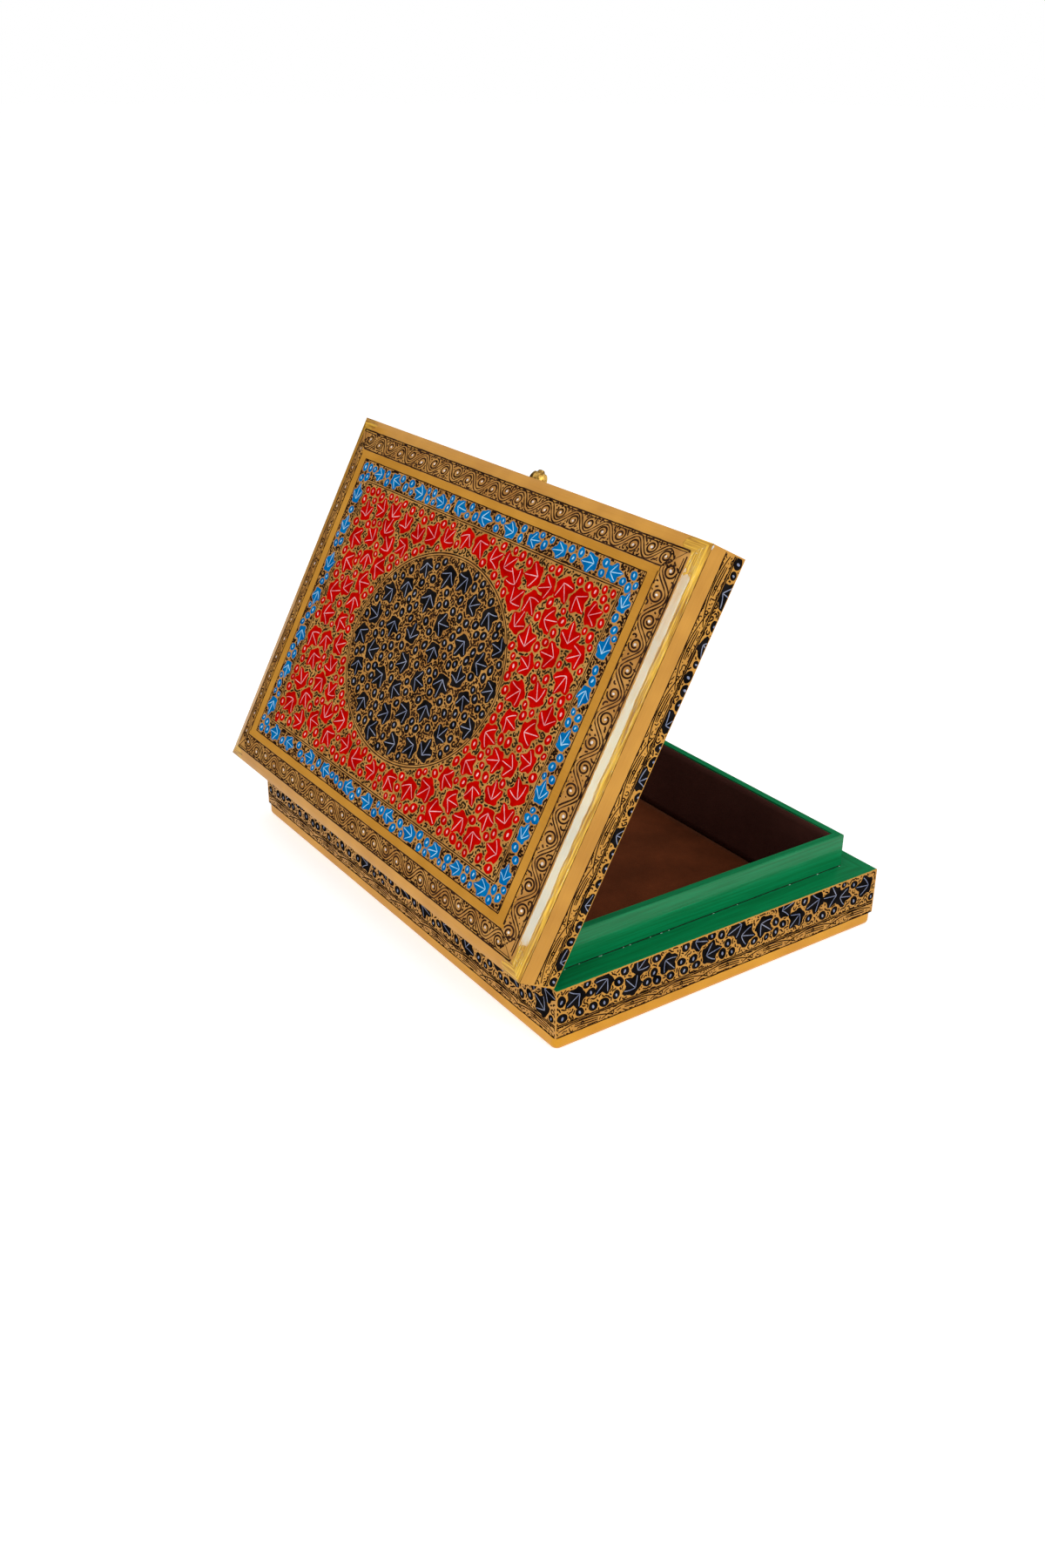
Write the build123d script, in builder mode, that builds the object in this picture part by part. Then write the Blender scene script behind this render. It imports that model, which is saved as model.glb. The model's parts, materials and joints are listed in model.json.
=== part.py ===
from build123d import *
import os
from math import cos, radians, sin, sqrt

# Painted keepsake box: a base with a stepped seat and an inner lip, a hinged lid and a loop clasp.
# Millimetres. X runs along the hinge, the hinge side is +Y, the clasp side is -Y and +Z is up.
# The origin is the centre of the underside. The lid stands part open, as it is shown.
# Pieces of the lid are drawn as if it were shut and placed by lid_plane.

# Whole box
length = 254.0
width = 179.4
lid_opening = 62.2  # degrees from shut

# Base board, which shows as the plinth
plinth_height = 6.2
plinth_corner_radius = 3.2
plinth_edge_radius = 2.4

# Base walls and the lip frame inside them
wall_height = 22.3
ledge = 11.6
wall_edge_radius = 0.35
lip_rise = 15.8
lip_thickness = 3.6
lip_edge_radius = 0.5

# Velvet
velvet_thickness = 0.8
velvet_drop = 0.5

# Lid walls and top panel
rim_gap = 0.3
side_clearance = 1.2
arc_clearance = 0.5
head_clearance = 3.0
rim_edge_radius = 0.3
panel_thickness = 5.1
nosing_height = 0.35
shoulder_curve_width = 2.4
shoulder_curve_rise = 1.15
shoulder_width = 6.0
shoulder_rise = 2.65
border_width = 9.0

# Butt hinges
hinge_spacing = 150.0
hinge_length = 25.0
leaf_depth = 8.0
leaf_thickness = 1.0
mortise_gap = 0.1
knuckle_count = 5
knuckle_radius = 1.6
knuckle_gap = 0.2
barrel_gap = 0.2
hinge_pin_radius = 0.75
running_clearance = 0.05
pin_head_radius = 1.15
pin_head_thickness = 0.5

# Hinge screws
screw_spacing = 14.0
screw_head_radius = 1.5
screw_shank_radius = 0.8
screw_cone_depth = 0.8
screw_length = 7.0
screw_slot_width = 0.35
screw_slot_depth = 0.3
fastener_clearance = 0.05

# Clasp: the domed strike on the lid, the catch plate on the base and the wire loop it carries
strike_width = 18.0
strike_height = 10.0
strike_from_rim = 0.6
strike_thickness = 0.6
plate_corner_radius = 2.0
dome_half_width = 5.0
dome_half_height = 3.2
dome_rise = 4.3
dome_steps = 5
catch_width = 17.0
catch_below_axis = 1.6
catch_from_ledge = 0.6
catch_thickness = 0.6
catch_corner_radius = 1.2
loop_axis_below_ledge = 4.5
tube_length = 7.8
tube_wall = 0.5
wire_radius = 0.6
loop_half_width = 6.2
loop_corner_radius = 2.0
loop_dome_clearance = 0.3

# Clasp nails
nail_head_radius = 0.9
nail_head_height = 0.35
nail_crown_share = 0.9  # of the head's height
nail_shank_radius = 0.45
nail_length = 5.0
nail_from_plate_end = 1.7

# Levels and places that follow from the sizes above
ledge_z = plinth_height + wall_height
rim_z = ledge_z + rim_gap
lip_top_z = ledge_z + lip_rise
hinge_offset = knuckle_radius + barrel_gap
hinge_y = width / 2 + hinge_offset
hinge_z = ledge_z + rim_gap / 2
lid_wall_height = lip_rise + head_clearance
panel_z = rim_z + lid_wall_height
lip_length = length - 2 * ledge
lip_width = width - 2 * ledge

# The lip's top corner swings nearest to the lid's front wall as the lid opens
lip_arc_radius = sqrt((width - ledge + hinge_offset) ** 2 + (lip_top_z - hinge_z) ** 2)
lid_front_thickness = width + hinge_offset - lip_arc_radius - arc_clearance
lid_side_thickness = ledge - side_clearance

opening = Pos(0, hinge_y, hinge_z) * Rot(-lid_opening, 0, 0) * Pos(0, -hinge_y, -hinge_z)


def lid_plane(plane):
    """The plane of the shut lid, turned about the hinge to where the lid stands."""
    return Plane(opening * plane.location)


def finish(piece, name):
    """Label a finished piece and write it."""
    piece.part.label = name
    export_step(piece.part, f"parts/{name}.step")


def mitred_side(side, outer_x, outer_y, walls):
    """Plan of one side of a mitred frame. walls maps each side to its thickness."""
    right, back = outer_x / 2, outer_y / 2
    outer = {"front_left": (-right, -back), "front_right": (right, -back),
             "back_right": (right, back), "back_left": (-right, back)}
    inner_left, inner_right = -right + walls["left"], right - walls["right"]
    inner_front, inner_back = -back + walls["front"], back - walls["back"]
    inner = {"front_left": (inner_left, inner_front), "front_right": (inner_right, inner_front),
             "back_right": (inner_right, inner_back), "back_left": (inner_left, inner_back)}
    ends = {"front": ("front_left", "front_right"), "right": ("front_right", "back_right"),
            "back": ("back_right", "back_left"), "left": ("back_left", "front_left")}[side]
    return [outer[ends[0]], outer[ends[1]], inner[ends[1]], inner[ends[0]]]


def even_walls(thickness):
    """The same thickness on all four sides."""
    return {side: thickness for side in sides}


def outer_edges(piece, side, axis):
    """Edges that run along a side of the box, outermost first, from highest to lowest along axis."""
    along = Axis.X if side in ("front", "back") else Axis.Y
    across = Axis.Y if side in ("front", "back") else Axis.X
    edges = piece.edges().filter_by(along).group_by(across)
    group = edges[-1] if side in ("back", "right") else edges[0]
    return group.sort_by(axis)


sides = ("front", "back", "left", "right")
base_walls = even_walls(ledge)
lip_walls = even_walls(lip_thickness)
velvet_walls = even_walls(velvet_thickness)
lid_walls = {"front": lid_front_thickness, "back": lid_side_thickness,
             "left": lid_side_thickness, "right": lid_side_thickness}

# Hinge places along X, and the faces the screws are driven into
hinge_places = {"left": -hinge_spacing / 2, "right": hinge_spacing / 2}
screw_y = (width - leaf_depth) / 2
screw_xs = [x + step * screw_spacing / 2 for x in hinge_places.values() for step in (-1, 1)]
base_screw_planes = [Plane((x, screw_y, ledge_z), x_dir=(1, 0, 0), z_dir=(0, 0, 1)) for x in screw_xs]
lid_screw_planes = [lid_plane(Plane((x, screw_y, rim_z), x_dir=(1, 0, 0), z_dir=(0, 0, -1)))
                    for x in screw_xs]


def screw_shape(plane, clearance):
    """A countersunk screw whose head is flush with the plane, or the hole for it."""
    with BuildPart() as screw:
        with BuildSketch(plane):
            Circle(screw_head_radius + clearance)
        with BuildSketch(plane.offset(-screw_cone_depth)):
            Circle(screw_shank_radius + clearance)
        loft()
        with BuildSketch(plane.offset(-screw_cone_depth)):
            Circle(screw_shank_radius + clearance)
        extrude(amount=screw_cone_depth - screw_length - clearance)
    return screw.part


def nail_shape(plane, plate_thickness, clearance):
    """A domed nail driven through a plate that lies on the plane, or the hole for its shank."""
    with BuildPart() as nail:
        with BuildSketch(plane.offset(plate_thickness)):
            Circle(nail_shank_radius + clearance)
        extrude(amount=-nail_length - clearance)
        if clearance == 0:
            with BuildSketch(plane.offset(plate_thickness)):
                Circle(nail_head_radius)
            extrude(amount=nail_head_height)
            crown = nail.edges().filter_by(GeomType.CIRCLE).sort_by(Axis(plane.origin, plane.z_dir))[-1]
            fillet(crown, radius=nail_crown_share * nail_head_height)
    return nail.part


base_screw_holes = [screw_shape(plane, fastener_clearance) for plane in base_screw_planes]
lid_screw_holes = [screw_shape(plane, fastener_clearance) for plane in lid_screw_planes]

# Clasp places: heights on the front face, for the shut lid
strike_z = rim_z + strike_from_rim + strike_height / 2
loop_axis_z = ledge_z - loop_axis_below_ledge
catch_bottom_z = loop_axis_z - catch_below_axis
catch_top_z = ledge_z - catch_from_ledge
bore_radius = wire_radius + running_clearance
tube_radius = bore_radius + tube_wall
loop_axis_out = catch_thickness + tube_radius
dome_top_z = strike_z + dome_half_height
loop_length = dome_top_z - loop_axis_z + wire_radius + loop_dome_clearance
front_face = Plane.XZ.offset(width / 2)
lid_front_face = lid_plane(front_face)
strike_nail_x = strike_width / 2 - nail_from_plate_end
catch_nail_x = catch_width / 2 - nail_from_plate_end
catch_nail_z = (catch_bottom_z + catch_top_z) / 2


def face_point(face, x, z):
    """A plane on the front face with its origin at x and height z."""
    return Plane(face.from_local_coords((x, z, 0)), x_dir=face.x_dir, z_dir=face.z_dir)


strike_nail_planes = [face_point(lid_front_face, x, strike_z) for x in (-strike_nail_x, strike_nail_x)]
catch_nail_planes = [face_point(front_face, x, catch_nail_z) for x in (-catch_nail_x, catch_nail_x)]
strike_nail_holes = [nail_shape(plane, strike_thickness, fastener_clearance) for plane in strike_nail_planes]
catch_nail_holes = [nail_shape(plane, catch_thickness, fastener_clearance) for plane in catch_nail_planes]

# Base board: one flat board under the walls, its corners and lower edge rounded
with BuildPart() as base_board:
    with BuildSketch(Plane.XY):
        RectangleRounded(length, width, plinth_corner_radius)
    extrude(amount=plinth_height)
    fillet(base_board.faces().sort_by(Axis.Z)[0].edges(), radius=plinth_edge_radius)
finish(base_board, "base_board")

# Base walls: four mitred boards on the base board; their tops are the ledge the lid sits on
for side in sides:
    with BuildPart() as base_wall:
        with BuildSketch(Plane.XY.offset(plinth_height)):
            with BuildLine():
                Polyline(*mitred_side(side, length, width, base_walls), close=True)
            make_face()
        extrude(amount=wall_height)
        fillet(outer_edges(base_wall, side, Axis.Z)[-1], radius=wall_edge_radius)
        if side == "back":
            with BuildSketch(Plane.XY.offset(ledge_z)):
                with Locations(*[(x, (width - leaf_depth - mortise_gap) / 2) for x in hinge_places.values()]):
                    Rectangle(hinge_length + 2 * mortise_gap, leaf_depth + mortise_gap)
            extrude(amount=-leaf_thickness, mode=Mode.SUBTRACT)
            add(base_screw_holes, mode=Mode.SUBTRACT)
        if side == "front":
            add(catch_nail_holes, mode=Mode.SUBTRACT)
    finish(base_wall, f"base_{side}_wall")

# Lip frame: four thin mitred boards inside the walls, standing up from the base board into the lid
for side in sides:
    with BuildPart() as lip:
        with BuildSketch(Plane.XY.offset(plinth_height)):
            with BuildLine():
                Polyline(*mitred_side(side, lip_length, lip_width, lip_walls), close=True)
            make_face()
        extrude(amount=wall_height + lip_rise)
        fillet(outer_edges(lip, side, Axis.Z)[-1], radius=lip_edge_radius)
    finish(lip, f"lip_{side}")

# Velvet: a floor sheet and four mitred strips glued to the lip boards
well_length = lip_length - 2 * lip_thickness
well_width = lip_width - 2 * lip_thickness
with BuildPart() as floor_velvet:
    with BuildSketch(Plane.XY.offset(plinth_height)):
        Rectangle(well_length, well_width)
    extrude(amount=velvet_thickness)
finish(floor_velvet, "floor_velvet")

strip_z = plinth_height + velvet_thickness
for side in sides:
    with BuildPart() as wall_velvet:
        with BuildSketch(Plane.XY.offset(strip_z)):
            with BuildLine():
                Polyline(*mitred_side(side, well_length, well_width, velvet_walls), close=True)
            make_face()
        extrude(amount=lip_top_z - velvet_drop - strip_z)
    finish(wall_velvet, f"{side}_velvet")

# Lid walls: four mitred boards that hang from the top panel and slip over the lip frame
for side in sides:
    with BuildPart() as lid_wall:
        with BuildSketch(lid_plane(Plane.XY.offset(rim_z))):
            with BuildLine():
                Polyline(*mitred_side(side, length, width, lid_walls), close=True)
            make_face()
        extrude(amount=lid_wall_height)
        lid_up = Axis(lid_plane(Plane.XY).origin, lid_plane(Plane.XY).z_dir)
        long_edges = lid_wall.faces().sort_by(lid_up)[0].edges().sort_by(SortBy.LENGTH)[-1]
        fillet(long_edges, radius=rim_edge_radius)
        if side == "back":
            with BuildSketch(lid_plane(Plane.XY.offset(rim_z))):
                with Locations(*[(x, (width - leaf_depth - mortise_gap) / 2) for x in hinge_places.values()]):
                    Rectangle(hinge_length + 2 * mortise_gap, leaf_depth + mortise_gap)
            extrude(amount=leaf_thickness, mode=Mode.SUBTRACT)
            add(lid_screw_holes, mode=Mode.SUBTRACT)
        if side == "front":
            add(strike_nail_holes, mode=Mode.SUBTRACT)
    finish(lid_wall, f"lid_{side}_wall")


def panel_half_outline(span):
    """Right half of the top panel's section: nosing, curved shoulder, sloped border and flat top."""
    edge = span / 2
    curve_end = (edge - shoulder_curve_width, nosing_height + shoulder_curve_rise)
    shoulder_end = (edge - shoulder_width, shoulder_rise)
    slope = (curve_end[0] - shoulder_end[0], curve_end[1] - shoulder_end[1])
    Polyline((0, 0), (edge, 0), (edge, nosing_height))
    TangentArc(curve_end, (edge, nosing_height), tangent=slope)
    border_end = (edge - shoulder_width - border_width, panel_thickness)
    Polyline(curve_end, shoulder_end, border_end, (0, panel_thickness))


# Top panel: a raised panel whose shoulder and border slope down to the walls on all four sides
with BuildPart() as lid_top_panel:
    with BuildSketch(lid_plane(Plane.YZ.offset(-length / 2).shift_origin((-length / 2, 0, panel_z)))):
        with BuildLine():
            panel_half_outline(width)
            mirror(about=Plane.YZ)
        make_face()
    extrude(amount=length)
    with BuildSketch(lid_plane(Plane.XZ.offset(-width / 2).shift_origin((0, width / 2, panel_z)))):
        with BuildLine():
            panel_half_outline(length)
            mirror(about=Plane.YZ)
        make_face()
    extrude(amount=width, mode=Mode.INTERSECT)
finish(lid_top_panel, "lid_top_panel")

# Lid velvet: one sheet glued under the top panel, between the lid walls
lid_well_length = length - lid_walls["left"] - lid_walls["right"]
lid_well_width = width - lid_walls["front"] - lid_walls["back"]
with BuildPart() as lid_velvet:
    with BuildSketch(lid_plane(Plane.XY.offset(panel_z))):
        with Locations((0, (lid_walls["front"] - lid_walls["back"]) / 2)):
            Rectangle(lid_well_length, lid_well_width)
    extrude(amount=-velvet_thickness)
finish(lid_velvet, "lid_velvet")


def no_turn(plane):
    """A piece of the base stays where it is drawn."""
    return plane


# Butt hinge leaves: a flat leaf let into the wood and rolled knuckles outside the back face
leaf_kinds = {
    "base": {"place": no_turn, "bottom": ledge_z - leaf_thickness, "first": 0, "holes": base_screw_holes},
    "lid": {"place": lid_plane, "bottom": rim_z, "first": 1, "holes": lid_screw_holes},
}
knuckle_pitch = hinge_length / knuckle_count
hinge_bore_radius = hinge_pin_radius + running_clearance
for hinge, hinge_x in hinge_places.items():
    for kind, leaf_values in leaf_kinds.items():
        place, bottom = leaf_values["place"], leaf_values["bottom"]
        first_x = hinge_x - hinge_length / 2 + knuckle_gap / 2
        knuckle_xs = [first_x + i * knuckle_pitch for i in range(leaf_values["first"], knuckle_count, 2)]
        with BuildPart() as leaf:
            with BuildSketch(place(Plane.XY.offset(bottom))):
                with Locations((hinge_x, (width - leaf_depth) / 2)):
                    Rectangle(hinge_length, leaf_depth)
            extrude(amount=leaf_thickness)
            for knuckle_x in knuckle_xs:
                with BuildSketch(place(Plane.YZ.offset(knuckle_x))):
                    with Locations((width / 2 - leaf_thickness, bottom)):
                        Rectangle(hinge_offset + leaf_thickness, leaf_thickness, align=(Align.MIN, Align.MIN))
                    with Locations((hinge_y, hinge_z)):
                        Circle(knuckle_radius)
                extrude(amount=knuckle_pitch - knuckle_gap)
            with BuildSketch(place(Plane.YZ.offset(hinge_x - hinge_length / 2))):
                with Locations((hinge_y, hinge_z)):
                    Circle(hinge_bore_radius)
            extrude(amount=hinge_length, mode=Mode.SUBTRACT)
            add(leaf_values["holes"], mode=Mode.SUBTRACT)
        finish(leaf, f"{hinge}_hinge_{kind}_leaf")

    # Hinge pin: a wire pin with a flat peened head at each end
    with BuildPart() as hinge_pin:
        with BuildSketch(Plane.YZ.offset(hinge_x - hinge_length / 2)):
            with Locations((hinge_y, hinge_z)):
                Circle(hinge_pin_radius)
        extrude(amount=hinge_length)
        for end, way in ((-hinge_length / 2, -1), (hinge_length / 2, 1)):
            with BuildSketch(Plane.YZ.offset(hinge_x + end)):
                with Locations((hinge_y, hinge_z)):
                    Circle(pin_head_radius)
            extrude(amount=way * pin_head_thickness)
    finish(hinge_pin, f"{hinge}_hinge_pin")

# Hinge screws: four in the base and four in the lid, slotted
for kind, planes in (("base", base_screw_planes), ("lid", lid_screw_planes)):
    shapes = [screw_shape(plane, 0) for plane in planes]
    with BuildPart() as hinge_screws:
        add(shapes)
        for plane in planes:
            with BuildSketch(plane):
                Rectangle(2 * screw_head_radius, screw_slot_width)
            extrude(amount=-screw_slot_depth, mode=Mode.SUBTRACT)
    finish(hinge_screws, f"{kind}_hinge_screws")

# Strike: a small pressed plate on the lid's front with a raised dome for the loop to pass over
with BuildPart() as strike:
    with BuildSketch(lid_front_face):
        with Locations((0, strike_z)):
            RectangleRounded(strike_width, strike_height, plate_corner_radius)
    extrude(amount=strike_thickness)
    for step in range(dome_steps):
        climb = radians(90.0 * step / dome_steps)
        with BuildSketch(lid_front_face.offset(strike_thickness + dome_rise * sin(climb))):
            with Locations((0, strike_z)):
                Ellipse(dome_half_width * cos(climb), dome_half_height * cos(climb))
    loft()
    add(strike_nail_holes, mode=Mode.SUBTRACT)
finish(strike, "clasp_strike")

# Catch plate: a narrow plate on the base's front whose lower edge is rolled into a tube
with BuildPart() as catch_plate:
    with BuildSketch(front_face):
        with Locations((0, (catch_bottom_z + catch_top_z) / 2)):
            RectangleRounded(catch_width, catch_top_z - catch_bottom_z, catch_corner_radius)
    extrude(amount=catch_thickness)
    with BuildSketch(Plane.YZ.offset(-tube_length / 2)):
        with Locations((-width / 2 - loop_axis_out, loop_axis_z)):
            Circle(tube_radius)
            Rectangle(loop_axis_out, tube_radius, align=(Align.MIN, Align.MIN))
    extrude(amount=tube_length)
    with BuildSketch(Plane.YZ.offset(-tube_length / 2)):
        with Locations((-width / 2 - loop_axis_out, loop_axis_z)):
            Circle(bore_radius)
    extrude(amount=tube_length, mode=Mode.SUBTRACT)
    add(catch_nail_holes, mode=Mode.SUBTRACT)
finish(catch_plate, "catch_plate")

# Wire loop: a closed ring of round wire whose upper bar turns in the catch plate's tube
with BuildPart() as clasp_loop:
    with BuildLine(front_face.offset(loop_axis_out)) as loop_path:
        FilletPolyline(
            (-loop_half_width, loop_axis_z),
            (loop_half_width, loop_axis_z),
            (loop_half_width, loop_axis_z - loop_length),
            (-loop_half_width, loop_axis_z - loop_length),
            radius=loop_corner_radius, close=True)
    with BuildSketch(Plane(loop_path.line @ 0, z_dir=loop_path.line % 0)):
        Circle(wire_radius)
    sweep()
finish(clasp_loop, "clasp_loop")

# Clasp nails: two in the strike and two in the catch plate
for name, planes, thickness in (("strike_nails", strike_nail_planes, strike_thickness),
                                ("catch_nails", catch_nail_planes, catch_thickness)):
    shapes = [nail_shape(plane, thickness, 0) for plane in planes]
    with BuildPart() as nails:
        add(shapes)
    finish(nails, name)
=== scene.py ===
import json
import random
from math import ceil, cos, exp, floor, hypot, pi, radians, sin, sqrt

import bmesh
import bpy
from mathutils import Matrix, Vector
from mathutils.kdtree import KDTree


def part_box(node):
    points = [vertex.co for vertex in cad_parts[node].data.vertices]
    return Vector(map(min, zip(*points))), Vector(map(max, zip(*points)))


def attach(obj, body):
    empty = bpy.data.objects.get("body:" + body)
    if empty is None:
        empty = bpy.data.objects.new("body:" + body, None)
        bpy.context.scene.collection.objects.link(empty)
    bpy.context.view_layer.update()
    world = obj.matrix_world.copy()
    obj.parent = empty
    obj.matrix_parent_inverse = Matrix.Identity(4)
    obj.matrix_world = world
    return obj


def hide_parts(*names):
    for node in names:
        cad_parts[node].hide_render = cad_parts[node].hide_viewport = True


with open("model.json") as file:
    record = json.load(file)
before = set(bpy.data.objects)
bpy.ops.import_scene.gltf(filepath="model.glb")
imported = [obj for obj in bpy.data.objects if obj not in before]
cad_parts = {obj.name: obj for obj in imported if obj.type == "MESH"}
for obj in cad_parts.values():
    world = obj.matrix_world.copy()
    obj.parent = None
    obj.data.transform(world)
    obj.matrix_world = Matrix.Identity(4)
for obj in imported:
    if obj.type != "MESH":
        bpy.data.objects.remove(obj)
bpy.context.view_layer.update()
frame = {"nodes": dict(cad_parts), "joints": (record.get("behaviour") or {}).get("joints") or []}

# Base board: one flat board, which shows outside as the plain plinth with a rounded lower edge.
# It is primed, brushed with gold bronze paint along its sides and varnished, so the gold is a
# warm ochre with faint streaks under a clear gloss.
mm = 0.001
nodes = frame["nodes"]
half_length, half_width, plinth_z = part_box("base_board")[1]
mix_factor, mix_a, mix_b, mix_result = 0, 6, 7, 2  # the colour sockets of a Mix node
colour_mix = {"data_type": "RGBA"}
noise_low, noise_high = 0.35, 0.65  # nearly all of a noise pattern lies between these
gold_dark, gold_light = "#BB8028", "#D59838"
streak_width, streak_length, streak_share = 0.7 * mm, 14 * mm, 0.5
cloud_size, cloud_share = 22 * mm, 0.6
brush_relief = 0.02 * mm
varnish_gloss, gloss_per_shine = 0.3, 3


def linear(hex_colour):
    """An sRGB hex colour as the linear colour that a shader takes."""
    shares = [int(hex_colour[i:i + 2], 16) / 255 for i in (1, 3, 5)]
    return [s / 12.92 if s <= 0.04045 else ((s + 0.055) / 1.055) ** 2.4 for s in shares] + [1.0]


def add_node(tree, kind, settings={}, inputs={}):
    """Add a node with its settings; an input is a plain value, or the output or node that feeds it."""
    made = tree.nodes.new("ShaderNode" + kind)
    for name, value in settings.items():
        setattr(made, name, value)
    for name, value in inputs.items():
        if isinstance(value, bpy.types.Node):
            value = value.outputs[0]
        if isinstance(value, bpy.types.NodeSocket):
            tree.links.new(value, made.inputs[name])
        else:
            made.inputs[name].default_value = value
    return made


def begin_material(name):
    """A material with an empty node tree."""
    made = bpy.data.materials.new(name)
    made.use_nodes = True
    made.node_tree.nodes.clear()
    return made, made.node_tree


def brush_marks(tree, place, along, width, length, detail):
    """Fine streaks, drawn out along one axis."""
    stretch = [1 / width] * 3
    stretch[along] = 1 / length
    stretched = add_node(tree, "Mapping", inputs={"Vector": place, "Scale": stretch})
    return add_node(tree, "TexNoise", inputs={"Vector": stretched, "Scale": 1.0, "Detail": detail})


def gold_paint(tree, place, along, dark=gold_dark, light=gold_light):
    """Colour and relief of brushed gold paint; along is the axis it was brushed along."""
    streaks = brush_marks(tree, place, along, streak_width, streak_length, 3.0)
    clouds = add_node(tree, "TexNoise", inputs={"Vector": place, "Scale": 1 / cloud_size, "Detail": 2.0})
    depth = add_node(tree, "MapRange", inputs={
        "Value": clouds, "From Min": noise_low, "From Max": noise_high, "To Max": cloud_share})
    depth = add_node(tree, "Math", {"operation": "MULTIPLY_ADD"}, {0: streaks, 1: streak_share, 2: depth})
    colours = {mix_factor: depth, mix_a: linear(dark), mix_b: linear(light)}
    return add_node(tree, "Mix", colour_mix, colours).outputs[mix_result], streaks


def varnish(tree, colour, relief, roughness, metallic, coat_roughness,
            relief_depth=brush_relief, gloss=varnish_gloss):
    """Paint under a clear varnish that follows the brush marks a little."""
    bump = add_node(tree, "Bump", inputs={"Height": relief, "Distance": relief_depth, "Strength": 1.0})
    shader = add_node(tree, "BsdfPrincipled", inputs={
        "Base Color": colour, "Metallic": metallic, "Roughness": roughness, "Normal": bump,
        "Specular IOR Level": gloss / gloss_per_shine,
        "Coat Weight": gloss, "Coat Roughness": coat_roughness, "Coat Normal": bump})
    add_node(tree, "OutputMaterial", inputs={"Surface": shader})


def one_coat(name, coat, along, dark, light, **finish):
    """One brushed paint all over, under its varnish."""
    made, tree = begin_material(name)
    place = add_node(tree, "TexCoord").outputs["Object"]
    varnish(tree, *coat(tree, place, along, dark, light), **finish)
    return made


def dress(piece, material):
    """Give a piece its only material."""
    piece.data.materials.clear()
    piece.data.materials.append(material)


# The plinth's gold is a deep warm yellow, and it is painted brighter than the walls' gold: painted light
# for the floor's bounce.
dress(nodes["base_board"], one_coat("gold_bronze_paint_plinth", gold_paint, 0, "#CC8A12", "#E2A222",
                                    roughness=0.42, metallic=0.3, coat_roughness=0.06))

# Base walls: four mitred boards on the base board, gold outside and green on top.
# The green is brushed gloss enamel whose edge laps unevenly over the sharp upper edge.
wall_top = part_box("base_front_wall")[1].z
grains = {"front": 0, "back": 0, "left": 1, "right": 1}  # the axis that each board runs along
green_dark, green_light = "#00733F", "#008A52"
green_streak_width, green_streak_length, green_high = 0.9 * mm, 30 * mm, 0.7
lap_width, lap_wobble, lap_blur = 0.35 * mm, 1.2 * mm, 0.05 * mm


def two_shades(tree, pattern, dark, light, low=noise_low, high=noise_high):
    """The dark colour where a pattern is low, going over to the light one where it is high."""
    share = add_node(tree, "MapRange", inputs={"Value": pattern, "From Min": low, "From Max": high})
    colours = {mix_factor: share, mix_a: linear(dark), mix_b: linear(light)}
    return add_node(tree, "Mix", colour_mix, colours).outputs[mix_result]


def green_enamel(tree, place, along, dark=green_dark, light=green_light):
    """Colour and relief of brushed green gloss enamel."""
    streaks = brush_marks(tree, place, along, green_streak_width, green_streak_length, 4.0)
    return two_shades(tree, streaks, dark, light, high=green_high), streaks


def edge_distances(tree, place):
    """How far in a place lies from the box's ends, and from its long faces."""
    parts = add_node(tree, "SeparateXYZ", inputs={"Vector": place})
    found = []
    for axis, half in ((0, half_length), (1, half_width)):
        size = add_node(tree, "Math", {"operation": "ABSOLUTE"}, {0: parts.outputs[axis]})
        found.append(add_node(tree, "Math", {"operation": "SUBTRACT"}, {0: half, 1: size}))
    return found


def outside_share(tree, place):
    """1 on the outer faces of the box's boards and 0 inside the line where the gold ends."""
    from_end, from_face = edge_distances(tree, place)
    nearest = add_node(tree, "Math", {"operation": "MINIMUM"}, {0: from_end, 1: from_face})
    wobble = add_node(tree, "TexNoise", inputs={"Vector": place, "Scale": 1 / lap_wobble})
    edge = add_node(tree, "Math", {"operation": "MULTIPLY_ADD"}, {0: wobble, 1: -lap_width, 2: nearest})
    return add_node(tree, "MapRange", inputs={"Value": edge, "From Min": lap_blur, "From Max": 0.0})


def two_tone(name, along, turned=None):
    """Gold outside and green inside and on the joint faces; turned puts a lid board back to shut."""
    made, tree = begin_material(name)
    place = add_node(tree, "TexCoord").outputs["Object"]
    if turned:
        place = add_node(tree, "Mapping", inputs={"Vector": place, **turned})
    gold, relief = gold_paint(tree, place, along)
    green = green_enamel(tree, place, along)[0]
    colours = {mix_factor: outside_share(tree, place), mix_a: green, mix_b: gold}
    both = add_node(tree, "Mix", colour_mix, colours).outputs[mix_result]
    varnish(tree, both, relief, roughness=0.42, metallic=0.15, coat_roughness=0.08)
    return made


for side, along in grains.items():
    dress(nodes[f"base_{side}_wall"], two_tone(f"gold_and_green_paint_base_{side}", along))

# Painted band of the base: leaves, buds and curls in black over the gold, then a narrow vine.
# The leaves are put down first with a soft brush, their veins in slate white, and the pen fills
# what is left with curls, keeping a thin ring of bare gold round each leaf.
ink_depth, leaf_depth, mark_depth = 0.03 * mm, 0.05 * mm, 0.08 * mm
cell = 0.25 * mm  # the squares in which it is noted where something is painted
leaf_length, leaf_ring, leaf_lift_in_mm = 8.8 * mm, 0.6 * mm, 0.02
leaf_outline_shares = ((0, 1.0), (13, 0.8), (25, 0.65), (37, 0.72), (50, 0.81), (63, 0.7), (80, 0.47),
                       (92, 0.43), (108, 0.46), (128, 0.37), (150, 0.26), (180, 0.22))
leaf_centre_share = 0.39
leaf_corners, leaf_waver = 48, (0.93, 1.07)
vein_width, vein_points = 0.38 * mm, 6
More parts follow.
